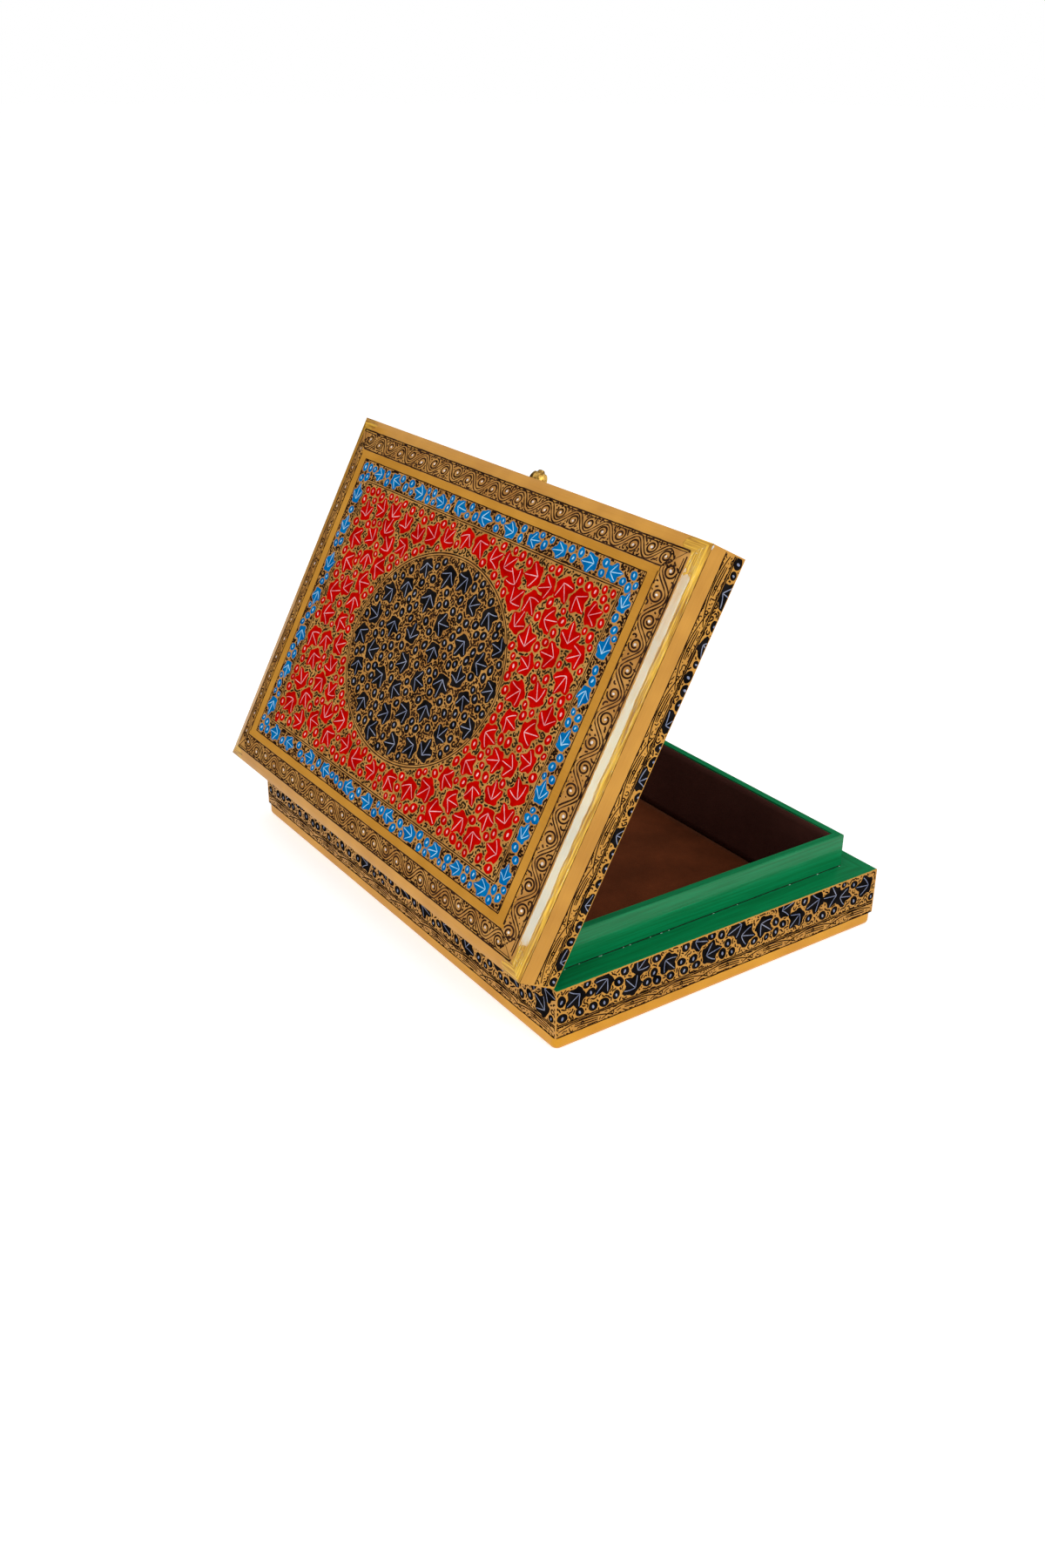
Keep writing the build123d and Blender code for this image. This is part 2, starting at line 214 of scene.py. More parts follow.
# For each vein: its side, and how far it reaches, leans and bows
vein_shares = ((0, 0.88, 0.0, 0.05), (-1, 0.68, 0.9, 0.3), (1, 0.68, 0.9, 0.3))
bud_radius, bud_ring, bud_pitch = 2.3 * mm, 0.56 * mm, 1.3 * mm
bud_corners, bud_waver, bud_lengths = 14, (0.96, 1.04), (1.05, 1.2)
bud_points, bud_point_power, bud_body_share = (0.0, 0.22), 4, 0.9
bud_sizes, bud_clear_share, bud_directions = (1.0, 0.78), 0.8, 8
dab_radius, dab_drop, dab_corners = 0.56 * mm, 0.15 * mm, 10
dab_width_share, dab_lengths, dab_turns = 0.9, (1.5, 1.7), (-0.5, 0.5)
motif_kinds, motif_sizes = 6, (0.9, 1.08)
stroke_end_share, stroke_swell_share = 0.72, 0.28
pen_step, pen_pitch, pen_steps, pen_bends = 0.5 * mm, 0.55 * mm, (5, 16), (0.35, 0.7)
pen_reversals, pen_sharper, pen_own_share, pen_own_points = 0.16, 1.8, 0.85, 3
samples_per_place, lonely_few, evening_rounds = 60, 14, 5


class Painting:
    """One painted area: the hand that paints it, its three wet films and its painted cells."""

    def __init__(self, rng):
        self.rng = rng
        self.leaves, self.marks, self.ink = bmesh.new(), bmesh.new(), bmesh.new()
        self.taken = set()


def film_mesh(film, name):
    """A film as a mesh, with the film let go."""
    mesh = bpy.data.meshes.new(name)
    film.to_mesh(mesh)
    film.free()
    return mesh


def join_film(whole, film):
    """Add a film to another."""
    mesh = film_mesh(film, "part")
    whole.from_mesh(mesh)
    bpy.data.meshes.remove(mesh)


def new_disc(film, corners, radius=1.0):
    """The corners of a flat disc."""
    return bmesh.ops.create_circle(film, cap_ends=True, segments=corners, radius=radius)["verts"]


def stroke(film, points, widths):
    """A stroke through the points, as wide at each as widths says."""
    last = len(points) - 1
    strip = bmesh.new()
    for vert in bmesh.ops.create_grid(strip, x_segments=last, y_segments=1, size=0.5)["verts"]:
        step = round((vert.co.x + 0.5) * last)
        way = (points[min(step + 1, last)] - points[max(step - 1, 0)]).normalized()
        vert.co = (points[step] + Vector((-way.y, way.x)) * widths[step] * vert.co.y).to_3d()
    join_film(film, strip)


def tapered(count, width):
    """Widths of a stroke that starts and ends thin."""
    return [width * (stroke_end_share + stroke_swell_share * sqrt(max(0.0, sin(pi * i / (count - 1)))))
            for i in range(count)]


def lobed(angle, shares):
    """The outline's distance at an angle in degrees, eased between the shares."""
    for (a, near), (b, far) in zip(shares, shares[1:]):
        if angle <= b:
            return near + (far - near) * (1 - cos(pi * (angle - a) / (b - a))) / 2
    return shares[-1][1]


def leaf_motifs(rng, length, width_share):
    """A five-lobed leaf that points along +Y from the point where its veins meet, and its veins."""
    film, veins = bmesh.new(), bmesh.new()
    halves = [[(a, s * rng.uniform(*leaf_waver)) for a, s in leaf_outline_shares] for _ in range(2)]
    for half in halves:
        half[0], half[-1] = leaf_outline_shares[0], leaf_outline_shares[-1]
    for i, vert in enumerate(new_disc(film, leaf_corners)):
        angle = 360 * i / leaf_corners
        reach = length * lobed(min(angle, 360 - angle), halves[angle > 180])
        x, y = reach * sin(radians(angle)), reach * cos(radians(angle))
        vert.co = (x * width_share, y, 0)
    for side, end, lean, most_bow in vein_shares:
        bow = rng.uniform(-most_bow, most_bow)
        points = []
        for i in range(vein_points):
            share = i / (vein_points - 1)
            turn = side * lean + bow * (share - 0.5)
            way = Vector((sin(turn) * width_share, cos(turn)))
            points.append(way * length * end * i / (vein_points - 1))
        stroke(veins, points, tapered(vein_points, vein_width))
    return film_mesh(film, "leaf"), film_mesh(veins, "veins")


def bud_motifs(rng):
    """An oval bud with a point at one end, and the dab of light paint on it."""
    film, dab = bmesh.new(), bmesh.new()
    long, point = rng.uniform(*bud_lengths), rng.uniform(*bud_points)
    for i, vert in enumerate(new_disc(film, bud_corners)):
        angle = 2 * pi * i / bud_corners
        swell = bud_body_share + point * max(0.0, cos(angle)) ** bud_point_power
        reach = bud_radius * swell * rng.uniform(*bud_waver)
        vert.co = (reach * sin(angle), reach * cos(angle) * long, 0)
    for vert in new_disc(dab, dab_corners, dab_radius):
        vert.co = (vert.co.x * dab_width_share, vert.co.y * rng.uniform(*dab_lengths) - dab_drop, 0)
    return film_mesh(film, "bud"), film_mesh(dab, "dab")


disc_cells = {}


def cells_near(x, y, reach):
    """The cells within reach of a point."""
    if reach not in disc_cells:
        span = ceil(reach / cell)
        disc_cells[reach] = [(i, j) for i in range(-span, span + 1) for j in range(-span, span + 1)
                             if hypot(i, j) * cell <= reach]
    column, row = floor(x / cell), floor(y / cell)
    return [(column + i, row + j) for i, j in disc_cells[reach]]


def stamp(film, motif, x, y, turn=0.0, size=1.0, flip=1, lift=0.0):
    """Print a motif, lifted where it lies over others, and return its corners."""
    copy = motif.copy()
    copy.transform(Matrix.Translation((x, y, lift)) @ Matrix.Rotation(turn, 4, "Z")
                   @ Matrix.Diagonal((size * flip, size, 1, 1)))
    film.from_mesh(copy)
    corners = [vert.co.to_2d() for vert in copy.vertices]
    bpy.data.meshes.remove(copy)
    return corners


def take_line(taken, points, ring, step=cell):
    """Mark the cells along a line, and a ring round them, as taken."""
    for a, b in zip(points, points[1:]):
        steps = ceil((b - a).length / step)
        for i in range(steps + 1):
            spot = a.lerp(b, i / max(steps, 1))
            taken.update(cells_near(spot.x, spot.y, ring))


def take_solid(taken, corners, ring):
    """Mark the inside of a motif and a ring round it as taken."""
    centre = sum(corners, Vector((0, 0))) / len(corners)
    for corner in corners:
        take_line(taken, (centre, corner), ring, ring)


def is_free(taken, point):
    """Whether nothing has been painted at a point."""
    return (floor(point.x / cell), floor(point.y / cell)) not in taken


def within(low, high):
    """A test for places inside a rectangle."""
    return lambda x, y: low[0] < x < high[0] and low[1] < y < high[1]


def spread(rng, count, low, high, inside):
    """Even but irregular places: the loneliest of a few each time, then drawn apart evenly."""
    samples = []
    while len(samples) < samples_per_place * count:
        spot = Vector((rng.uniform(low[0], high[0]), rng.uniform(low[1], high[1]), 0))
        if inside(spot.x, spot.y):
            samples.append(spot)
    places = samples[:1]
    while len(places) < count:
        few = rng.sample(samples, lonely_few)
        places.append(max(few, key=lambda spot: min((spot - place).length for place in places)))
    for _ in range(evening_rounds):
        tree = KDTree(count)
        for i, place in enumerate(places):
            tree.insert(place, i)
        tree.balance()
        shares = [[] for _ in places]
        for spot in samples:
            shares[tree.find(spot)[1]].append(spot)
        places = [sum(share, Vector()) / len(share) if share else place
                  for share, place in zip(shares, places)]
    return [place.to_2d() for place in places]


def candidates(rng, low, high, pitch):
    """Shuffled, jittered places all over an area."""
    columns, rows = ceil((high[0] - low[0]) / pitch), ceil((high[1] - low[1]) / pitch)
    spots = [Vector((low[0] + (i + rng.random()) * pitch, low[1] + (j + rng.random()) * pitch))
             for i in range(columns) for j in range(rows)]
    rng.shuffle(spots)
    return spots


def scribble(area, low, high, inside, width, spacing):
    """Fill what is free with short curling strokes of the pen, each grown until it meets something."""
    rng, taken = area.rng, area.taken
    for start in candidates(rng, low, high, pen_pitch):
        if not (inside(start.x, start.y) and is_free(taken, start)):
            continue
        heading, bend = rng.uniform(0, 2 * pi), rng.choice((-1, 1)) * rng.uniform(*pen_bends)
        points = [start]
        for _ in range(rng.randint(*pen_steps)):
            if rng.random() < pen_reversals:
                bend = -bend
            for turn in (bend, -bend, 0.0, pen_sharper * bend, -pen_sharper * bend):
                way = Vector((cos(heading + turn), sin(heading + turn)))
                spot = points[-1] + way * pen_step
                gap = pen_own_share * spacing
                clear = all((spot - old).length > gap for old in points[:-pen_own_points])
                if clear and inside(spot.x, spot.y) and is_free(taken, spot):
                    break
            else:
                break
            heading += turn
            points.append(spot)
        if len(points) > 1:
            stroke(area.ink, points, tapered(len(points), width))
            take_line(taken, points, spacing)


def leaf_painting(area, places, turns, length, width_share=1.0, tries=1):
    """Put down the leaves of an area with their veins, each turned to where it covers others least."""
    rng, taken = area.rng, area.taken
    kinds = [leaf_motifs(rng, length, width_share) for _ in range(motif_kinds)]
    for spot, turn in zip(places, turns):
        leaf, veins = rng.choice(kinds)
        size = rng.uniform(*motif_sizes)
        flip = rng.choice((-1, 1))
        outline = [Vector((vert.co.x * flip, vert.co.y - length * leaf_centre_share)) * size
                   for vert in leaf.vertices]

        def covered(turn):
            spin = Matrix.Rotation(turn, 2)
            return sum(not is_free(taken, spot + spin @ corner) for corner in outline)

        turn = min((turn + 2 * pi * i / tries for i in range(tries)), key=covered)
        way = Vector((-sin(turn), cos(turn))) * length * leaf_centre_share * size
        lift = rng.uniform(0.0, leaf_lift_in_mm) * mm
        corners = stamp(area.leaves, leaf, spot.x - way.x, spot.y - way.y, turn, size, flip, lift)
        stamp(area.marks, veins, spot.x - way.x, spot.y - way.y, turn, size, flip)
        take_solid(taken, corners, leaf_ring)


def bud_painting(area, low, high, inside, count, scale=1.0):
    """Put down the buds of an area between its leaves."""
    rng, taken = area.rng, area.taken
    kinds = [bud_motifs(rng) for _ in range(motif_kinds)]
    spots = [(spot, share) for share in bud_sizes for spot in candidates(rng, low, high, bud_pitch)]
    for spot, share in spots:
        if not count:
            break
        reach = bud_radius * bud_clear_share * scale * share
        angles = [2 * pi * i / bud_directions for i in range(bud_directions)]
        around = [spot + Vector((cos(angle), sin(angle))) * reach for angle in angles]
        if not (is_free(taken, spot) and all(is_free(taken, p) and inside(p.x, p.y) for p in around)):
            continue
        bud, dab = rng.choice(kinds)
        turn, size = rng.uniform(0, 2 * pi), rng.uniform(*motif_sizes) * scale * share
        take_solid(taken, stamp(area.leaves, bud, spot.x, spot.y, turn, size), bud_ring)
        stamp(area.marks, dab, spot.x, spot.y, rng.uniform(*dab_turns), size)
        count -= 1


def cut_to(area, low, high):
    """Cut an area's leaves and marks to a rectangle, where the paint runs off the edge of the board."""
    for film in (area.leaves, area.marks):
        for spot, way in ((low, (-1, 0, 0)), (low, (0, -1, 0)), (high, (1, 0, 0)), (high, (0, 1, 0))):
            bmesh.ops.bisect_plane(film, geom=film.verts[:] + film.edges[:] + film.faces[:],
                                   plane_co=(*spot, 0), plane_no=way, clear_outer=True)


def thicken(film, depth):
    """Give a flat film its depth."""
    raised = bmesh.ops.extrude_face_region(film, geom=film.faces[:])["geom"]
    raised = [part for part in raised if isinstance(part, bmesh.types.BMVert)]
    bmesh.ops.translate(film, vec=(0, 0, depth), verts=raised)


def face_outwards(film):
    """Turn the faces of a closed skin outwards."""
    bmesh.ops.recalc_face_normals(film, faces=film.faces[:])


def new_piece(name, film, material):
    """A finished mesh as a piece of the scene, with its material."""
    piece = bpy.data.objects.new(name, film_mesh(film, name))
    bpy.context.scene.collection.objects.link(piece)
    dress(piece, material)
    return piece


def lay_paint(name, films, depth, body, material):
    """One piece of paint from flat films, each with the place of the face it lies on."""
    whole = bmesh.new()
    for film, place in films:
        thicken(film, depth)
        face_outwards(film)
        for vert in film.verts:
            vert.co = place(vert.co)
        join_film(whole, film)
    face_outwards(whole)
    piece = new_piece(name, whole, material)
    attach(piece, body)
    return piece


def lay_painting(name, areas, body, leaf_paint, mark_paint, pen_paint):
    """A painting as three pieces: its leaves and buds, the light marks on them, and its pen lines."""
    for part, kind, depth, coat in (("leaves", "leaves", leaf_depth, leaf_paint),
                                    ("veins", "marks", mark_depth, mark_paint),
                                    ("pen_lines", "ink", ink_depth, pen_paint)):
        films = [(getattr(area, kind), place) for area, place in areas]
        lay_paint(f"{name}_{part}", films, depth, body, coat)


brush_patch = 5 * mm
paint_grain, paint_grain_depth = 0.4 * mm, 0.01 * mm


def paint(name, dark, light, patch_size=brush_patch, roughness=0.5, specular=0.0):
    """Opaque matt paint or ink: thicker and thinner patches of one colour."""
    made, tree = begin_material(name)
    place = add_node(tree, "TexCoord").outputs["Object"]
    patches = add_node(tree, "TexNoise", inputs={"Vector": place, "Scale": 1 / patch_size, "Detail": 3.0})
    grain = add_node(tree, "TexNoise", inputs={"Vector": place, "Scale": 1 / paint_grain})
    bump = add_node(tree, "Bump", inputs={"Height": grain, "Distance": paint_grain_depth})
    shader = add_node(tree, "BsdfPrincipled", inputs={
        "Base Color": two_shades(tree, patches, dark, light),
        "Roughness": roughness, "Specular IOR Level": specular, "Normal": bump})
    add_node(tree, "OutputMaterial", inputs={"Surface": shader})
    return made


# Black poster paint covers fully and looks flat; the thinner pen ink lets some brown through;
# the slate white is a cool grey that stands out only on the black.
black_paint = paint("black_poster_paint", "#0D0C0C", "#1E1B1B")
ink_paint = paint("brown_black_pen_ink", "#1A100A", "#301E14", roughness=0.6)
slate_paint = paint("slate_white_paint", "#7A829E", "#A4AAC0")

sides = ("front", "right", "back", "left")
half_spans = dict(zip(sides, (half_length, half_width) * 2))
half_depths = dict(zip(sides, (half_width, half_length) * 2))
ruled_step, ruled_waver_in_mm, ruled_widths = 2.5 * mm, 0.05, (0.75, 1.2)
line_width, edge_margin = 0.6 * mm, 0.6 * mm


def quarter_turns(count):
    """A turn about the upright axis, from the front to another side."""
    return Matrix.Rotation(count * pi / 2, 4, "Z")


def side_place(side, bottom):
    """From a flat painting to a side of the box: along it, up from its bottom, out of its face."""
    turn = quarter_turns(sides.index(side))
    return lambda co: turn @ Vector((co.x, -half_depths[side] - co.z, bottom + co.y))


def ruled(area, start, end, width):
    """A line drawn along a ruler with a pen that wavers a little."""
    count = max(2, ceil((end - start).length / ruled_step))
    way = (end - start).normalized()
    off = Vector((-way.y, way.x))
    points, widths = [], []
    for i in range(count + 1):
        waver = area.rng.uniform(-ruled_waver_in_mm, ruled_waver_in_mm)
        points.append(start.lerp(end, i / count) + off * waver * mm)
        widths.append(width * area.rng.uniform(*ruled_widths))
    stroke(area.ink, points, widths)


def level_lines(area, span, heights):
    """Lines ruled along a side."""
    for height in heights:
        ruled(area, Vector((-span, height)), Vector((span, height)), line_width)


vine_period, vine_margin = 25 * mm, 0.45 * mm
hump_start_share, hump_length_share, hump_points, hump_flatness = 0.12, 1.24, 25, 0.8
hump_fans_in_mm, fan_shares, fan_open_share = (0.0, 1.25, 2.4), (0.55, 0.75), 0.72
hump_pen, hump_ring = 0.6 * mm, 0.85 * mm
curl_shares, curl_height_share, curl_points = (0.5, 0.97), 0.7, 11
curl_radius_in_mm, curl_pen, curl_ring = 0.7, 0.5 * mm, 0.9 * mm
vine_pen, vine_spacing = 0.5 * mm, 0.84 * mm


def wave_vine(area, low, high):
    """A narrow running vine: long humps of three strokes that fan out and close, and small curls."""
    area.taken = set()
    middle, swing = (low[1] + high[1]) / 2, (high[1] - low[1]) / 2 - vine_margin
    humps = round((high[0] - low[0]) / vine_period)
    pitch = (high[0] - low[0]) / humps
    for hump in range(humps):
        start = low[0] + hump * pitch - hump_start_share * pitch
        for spacing in hump_fans_in_mm:
            points = []
            for step in range(hump_points):
                share = step / (hump_points - 1)
                rise = sin(pi * share) ** hump_flatness
                fan = spacing * mm * sin(pi * share) * (fan_shares[0] + fan_shares[1] * share)
                if fan >= fan_open_share * spacing * mm:
                    x = start + share * hump_length_share * pitch
                    points.append(Vector((x, middle - swing + 2 * swing * rise - fan)))
            points = [p for p in points if low[0] < p.x < high[0]]
            stroke(area.ink, points, tapered(len(points), hump_pen))
            take_line(area.taken, points, hump_ring)
        for share in curl_shares:
            x = start + share * hump_length_share * pitch + area.rng.uniform(-1, 1) * mm
            eye = Vector((x, middle + (curl_height_share - share) * swing))
            if low[0] + mm < eye.x < high[0] - mm:
                angles = [2 * pi * i / (curl_points - 1) for i in range(curl_points)]
                curl = [eye + Vector((cos(angle), sin(angle))) * curl_radius_in_mm * mm for angle in angles]
                stroke(area.ink, curl, [curl_pen] * curl_points)
                take_line(area.taken, curl, curl_ring)
    scribble(area, low, high, within(low, high), vine_pen, vine_spacing)


base_height = wall_top - plinth_z
base_vine_bottom, base_vine_top, base_band_bottom = 0.55 * mm, 5.0 * mm, 6.1 * mm
base_lines = (0.25 * mm, base_vine_top, base_vine_top + 0.8 * mm)
leaf_pitch, buds_per_leaf, most_lean = 10.8 * mm, 2.4, 0.9
leaves_above_bottom, leaves_past_top = 1.5 * mm, 2.5 * mm
buds_above_bottom, buds_past_top = 0.5 * mm, 1.2 * mm
band_overlap, vine_gap = 0.2 * mm, 0.1 * mm
band_pen, band_spacing = 0.72 * mm, 0.9 * mm
base_areas = []
for side in sides:
    area = Painting(random.Random(f"base {side}"))
    span = half_spans[side] - edge_margin
    low, high = (-span, base_band_bottom), (span, base_height - edge_margin)
    leaf_low, leaf_high = base_band_bottom + leaves_above_bottom, base_height + leaves_past_top
    count = round(2 * span / leaf_pitch)
    places = spread(area.rng, count, (-span, leaf_low), (span, leaf_high),
                    within((-span + mm, leaf_low), (span - mm, leaf_high)))
    turns = [area.rng.choice((-1, 1)) * pi / 2 + area.rng.uniform(-most_lean, most_lean)
             for _ in places]
    leaf_painting(area, places, turns, leaf_length)
    for_buds = within((-span, low[1] + buds_above_bottom), (span, high[1] + buds_past_top))
    bud_painting(area, low, high, for_buds, round(buds_per_leaf * count))
    scribble(area, low, high, within(low, high), band_pen, band_spacing)
    cut_to(area, (-span, base_band_bottom - band_overlap), high)
    wave_vine(area, (-span, base_vine_bottom), (span, base_vine_top - vine_gap))
    level_lines(area, span, base_lines)
    base_areas.append((area, side_place(side, plinth_z)))
lay_painting("base_band", base_areas, "base", black_paint, slate_paint, ink_paint)

# Lip frame: four thin mitred boards that stand up inside the walls, green on all faces.
# Where they meet the ledge the enamel has cracked; a dark broken line painted round them is the
# shade in that crack, and small pale slivers beside it are painted glints on its edges.
lip_low, lip_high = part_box("lip_front")
lip_halves = (lip_high.x, -lip_low.y)
crack_width, crack_depth, crack_step, crack_off = 0.34 * mm, 0.3 * mm, 1.6 * mm, 0.1 * mm
crack_widths = (0.25, 1.5)
glints_per_side, glint_depth = 14, 0.1 * mm
glint_steps_in_mm, glint_offs_in_mm = (0.3, 0.6), (0.25, 0.4)
glint_widths = (0.06 * mm, 0.2 * mm, 0.05 * mm)


def ledge_place(side):
    """From a flat painting to the ledge beside the lip."""
    turn = quarter_turns(sides.index(side))
    return lambda co: turn @ (co + Vector((0, 0, wall_top)))


for side, along in grains.items():
    dress(nodes[f"lip_{side}"],
          one_coat(f"green_gloss_enamel_lip_{side}", green_enamel, along, green_dark, green_light,
                   roughness=0.4, metallic=0.0, coat_roughness=0.1, relief_depth=0.03 * mm))
crack_films, glint_films = [], []
rng = random.Random("crack")
for index, side in enumerate(sides):
    crack, glints = bmesh.new(), bmesh.new()
    along_half, across = lip_halves[index % 2], lip_halves[1 - index % 2]
    count = ceil(2 * along_half / crack_step)
    points = [Vector((-along_half + 2 * along_half * i / count, -across - crack_off))
              for i in range(count + 1)]
    stroke(crack, points, [crack_width * rng.uniform(*crack_widths) for _ in points])
    # Pale slivers beside the crack: painted glints.
    for _ in range(glints_per_side):
        x = rng.uniform(-along_half, along_half)
        sliver = [Vector((x + i * rng.uniform(*glint_steps_in_mm) * mm,
                        -across - rng.uniform(*glint_offs_in_mm) * mm)) for i in range(len(glint_widths))]
        stroke(glints, sliver, glint_widths)
    crack_films.append((crack, ledge_place(side)))
    glint_films.append((glints, ledge_place(side)))

# The crack's line is painted dark and dull as the shade in it; the pale slivers are painted glints, a pale
# green white.
crack = lay_paint("lip_crack_line", crack_films, crack_depth, "base",
                  paint("painted_shade_in_the_crack", "#0C1A12", "#22301F", roughness=0.8, specular=0.1))
glints = lay_paint("lip_painted_glints", glint_films, glint_depth, "base",
                  paint("painted_glint_white", "#A9D8BE", "#E4F4EA", roughness=0.3))

# Velvet of the well: a floor sheet and four strips glued to the lip boards.
# It is short dark brown pile on a woven back, brushed unevenly, so it shows paler and darker
# patches, and the strips' upper edges waver a little below the lip's top.
brushed_patch, brushed_high = 28 * mm, 0.7
pile_size, pile_depth = 0.5 * mm, 0.15 * mm
velvet_step, velvet_edge, edge_reach = 4 * mm, 4 * mm, 0.1 * mm
velvet_wave, fine_share, edge_crown = 0.12 * mm, 0.4, 0.35 * mm
wave_lengths, fine_lengths, crown_length = (17 * mm, 13 * mm), (5 * mm, 6 * mm), 8 * mm
well_low, well_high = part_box("floor_velvet")
velvet_back = 0.14 * mm
sheet_thickness = well_high.z - well_low.z - 3 * velvet_back
mirrored = Matrix.Diagonal((1, 1, -1, 1))


def velvet_material(name, dark, light):
    """Short-pile cotton velvet: dark, soft and rimmed with light where the pile is seen edge on."""
    made, tree = begin_material(name)
    place = add_node(tree, "TexCoord").outputs["Object"]
    brushed = add_node(tree, "TexNoise", inputs={
        "Vector": place, "Scale": 1 / brushed_patch, "Detail": 5.0, "Roughness": 0.6})
    pile = add_node(tree, "TexNoise", inputs={"Vector": place, "Scale": 1 / pile_size, "Detail": 2.0})
    bump = add_node(tree, "Bump", inputs={"Height": pile, "Distance": pile_depth})
    shader = add_node(tree, "BsdfPrincipled", inputs={
        "Base Color": two_shades(tree, brushed, dark, light, high=brushed_high),
        "Roughness": 1.0, "Specular IOR Level": 0.1, "Sheen Weight": 0.35, "Sheen Roughness": 0.45,
        "Sheen Tint": linear("#8A5A40"), "Normal": bump})
    add_node(tree, "OutputMaterial", inputs={"Surface": shader})
    return made


def velvet_sheet(name, node, body, width, height, place, material, held, rests_on, crown=0):
    """A glued sheet of velvet, drawn flat, waved a little and laid in place."""
    film = bmesh.new()
    columns, rows = ceil(width / velvet_step), ceil(height / velvet_step)
    bmesh.ops.create_grid(film, x_segments=columns, y_segments=rows, size=0.5)
    rng = random.Random(name)
    phases = [rng.uniform(0, 2 * pi) for _ in range(4)]
    bmesh.ops.scale(film, vec=(width, height, 1), verts=film.verts)
    for vert in film.verts:
        x, y = vert.co.x, vert.co.y
        wave = sin(x / wave_lengths[0] + phases[0]) * sin(y / wave_lengths[1] + phases[1])
        fine = sin(x / fine_lengths[0] + phases[2]) * sin(y / fine_lengths[1] + phases[3])
        inner = min(1.0, (width / 2 - abs(x)) / velvet_edge, (height / 2 - abs(y)) / velvet_edge)
        vert.co.z = (wave + fine_share * fine) * velvet_wave * inner
        if y > height / 2 - edge_reach:
            vert.co.y -= crown * (0.5 + 0.5 * sin(x / crown_length + phases[2]))
    thicken(film, sheet_thickness)
    for vert in film.verts:
        vert.co = place @ vert.co
    face_outwards(film)
    piece = new_piece(name, film, material)
    for face in piece.data.polygons:
        face.use_smooth = True
    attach(piece, body)
    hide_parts(node)


# The walls' velvet is painted darker and duller than the floor's: painted shade on the well's sides.
floor_velvet = velvet_material("brown_velvet_floor", "#5A2A12", "#76391B")
shaded_wall_velvet = velvet_material("brown_velvet_walls", "#472722", "#58332B")
well_sizes = (well_high.x - well_low.x, well_high.y - well_low.y)
velvet_sheet("well_floor_velvet", "floor_velvet", "base", *well_sizes,
             Matrix.Translation((0, 0, well_low.z + velvet_back)), floor_velvet, "laid", ["base_board"])
strip_bottom, strip_top = (corner.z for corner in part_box("front_velvet"))
strip_height, strip_gap = strip_top - strip_bottom, 0.2 * mm
for index, side in enumerate(sides):
    span, across = well_sizes[index % 2], well_sizes[1 - index % 2] / 2
    upright = Matrix.Translation((0, -across + velvet_back, strip_bottom + strip_height / 2))
    place = quarter_turns(index) @ (upright @ Matrix.Rotation(pi / 2, 4, "X") @ mirrored)
    velvet_sheet(f"well_{side}_velvet", f"{side}_velvet", "base", span - strip_gap, strip_height,
                 place, shaded_wall_velvet, "stretched", [f"lip_{side}"], edge_crown)

# Lid walls: four mitred boards under the top panel, gold outside and green on the rim and inside.
# They are put back to shut for their paint, because the lid was painted shut on its box.
hinge = next(joint for joint in frame["joints"] if joint["name"] == "lid_hinge")
open_angle = radians(-hinge["range_deg"][0])
hinge_spot = Vector(hinge["pos_m"])
opening = (Matrix.Translation(hinge_spot) @ Matrix.Rotation(open_angle, 4, Vector(hinge["axis"]))
           @ Matrix.Translation(-hinge_spot))
closing = opening.inverted()
shut_mapping = {"Location": closing.to_translation(), "Rotation": closing.to_euler("XYZ")}
for side, along in grains.items():
    dress(nodes[f"lid_{side}_wall"], two_tone(f"gold_and_green_paint_lid_{side}", along, shut_mapping))

# Lid panel: a thick board with a rounded shoulder and a sloped border, gold all over.
# Its end shoulders were rubbed and brushed over again, so the strips beside their creases and the
# corners are rougher; they are also painted a brighter yellow than the flat gold, as a painted sheen.
shoulder_width = 6.0 * mm
rough_wander, rough_swing, rough_full, rough_none = 9 * mm, 1.6 * mm, 1.4 * mm, 1.8 * mm
worn_patch, worn_swing, worn_full, worn_none = 3 * mm, 14 * mm, 4 * mm, 5 * mm
ridge_dark, ridge_sheen_light, ridge_low, ridge_high = "#9A6410", "#ECB83C", 0.34, 0.66
smooth_relief, rough_relief = 0.015 * mm, 0.25 * mm


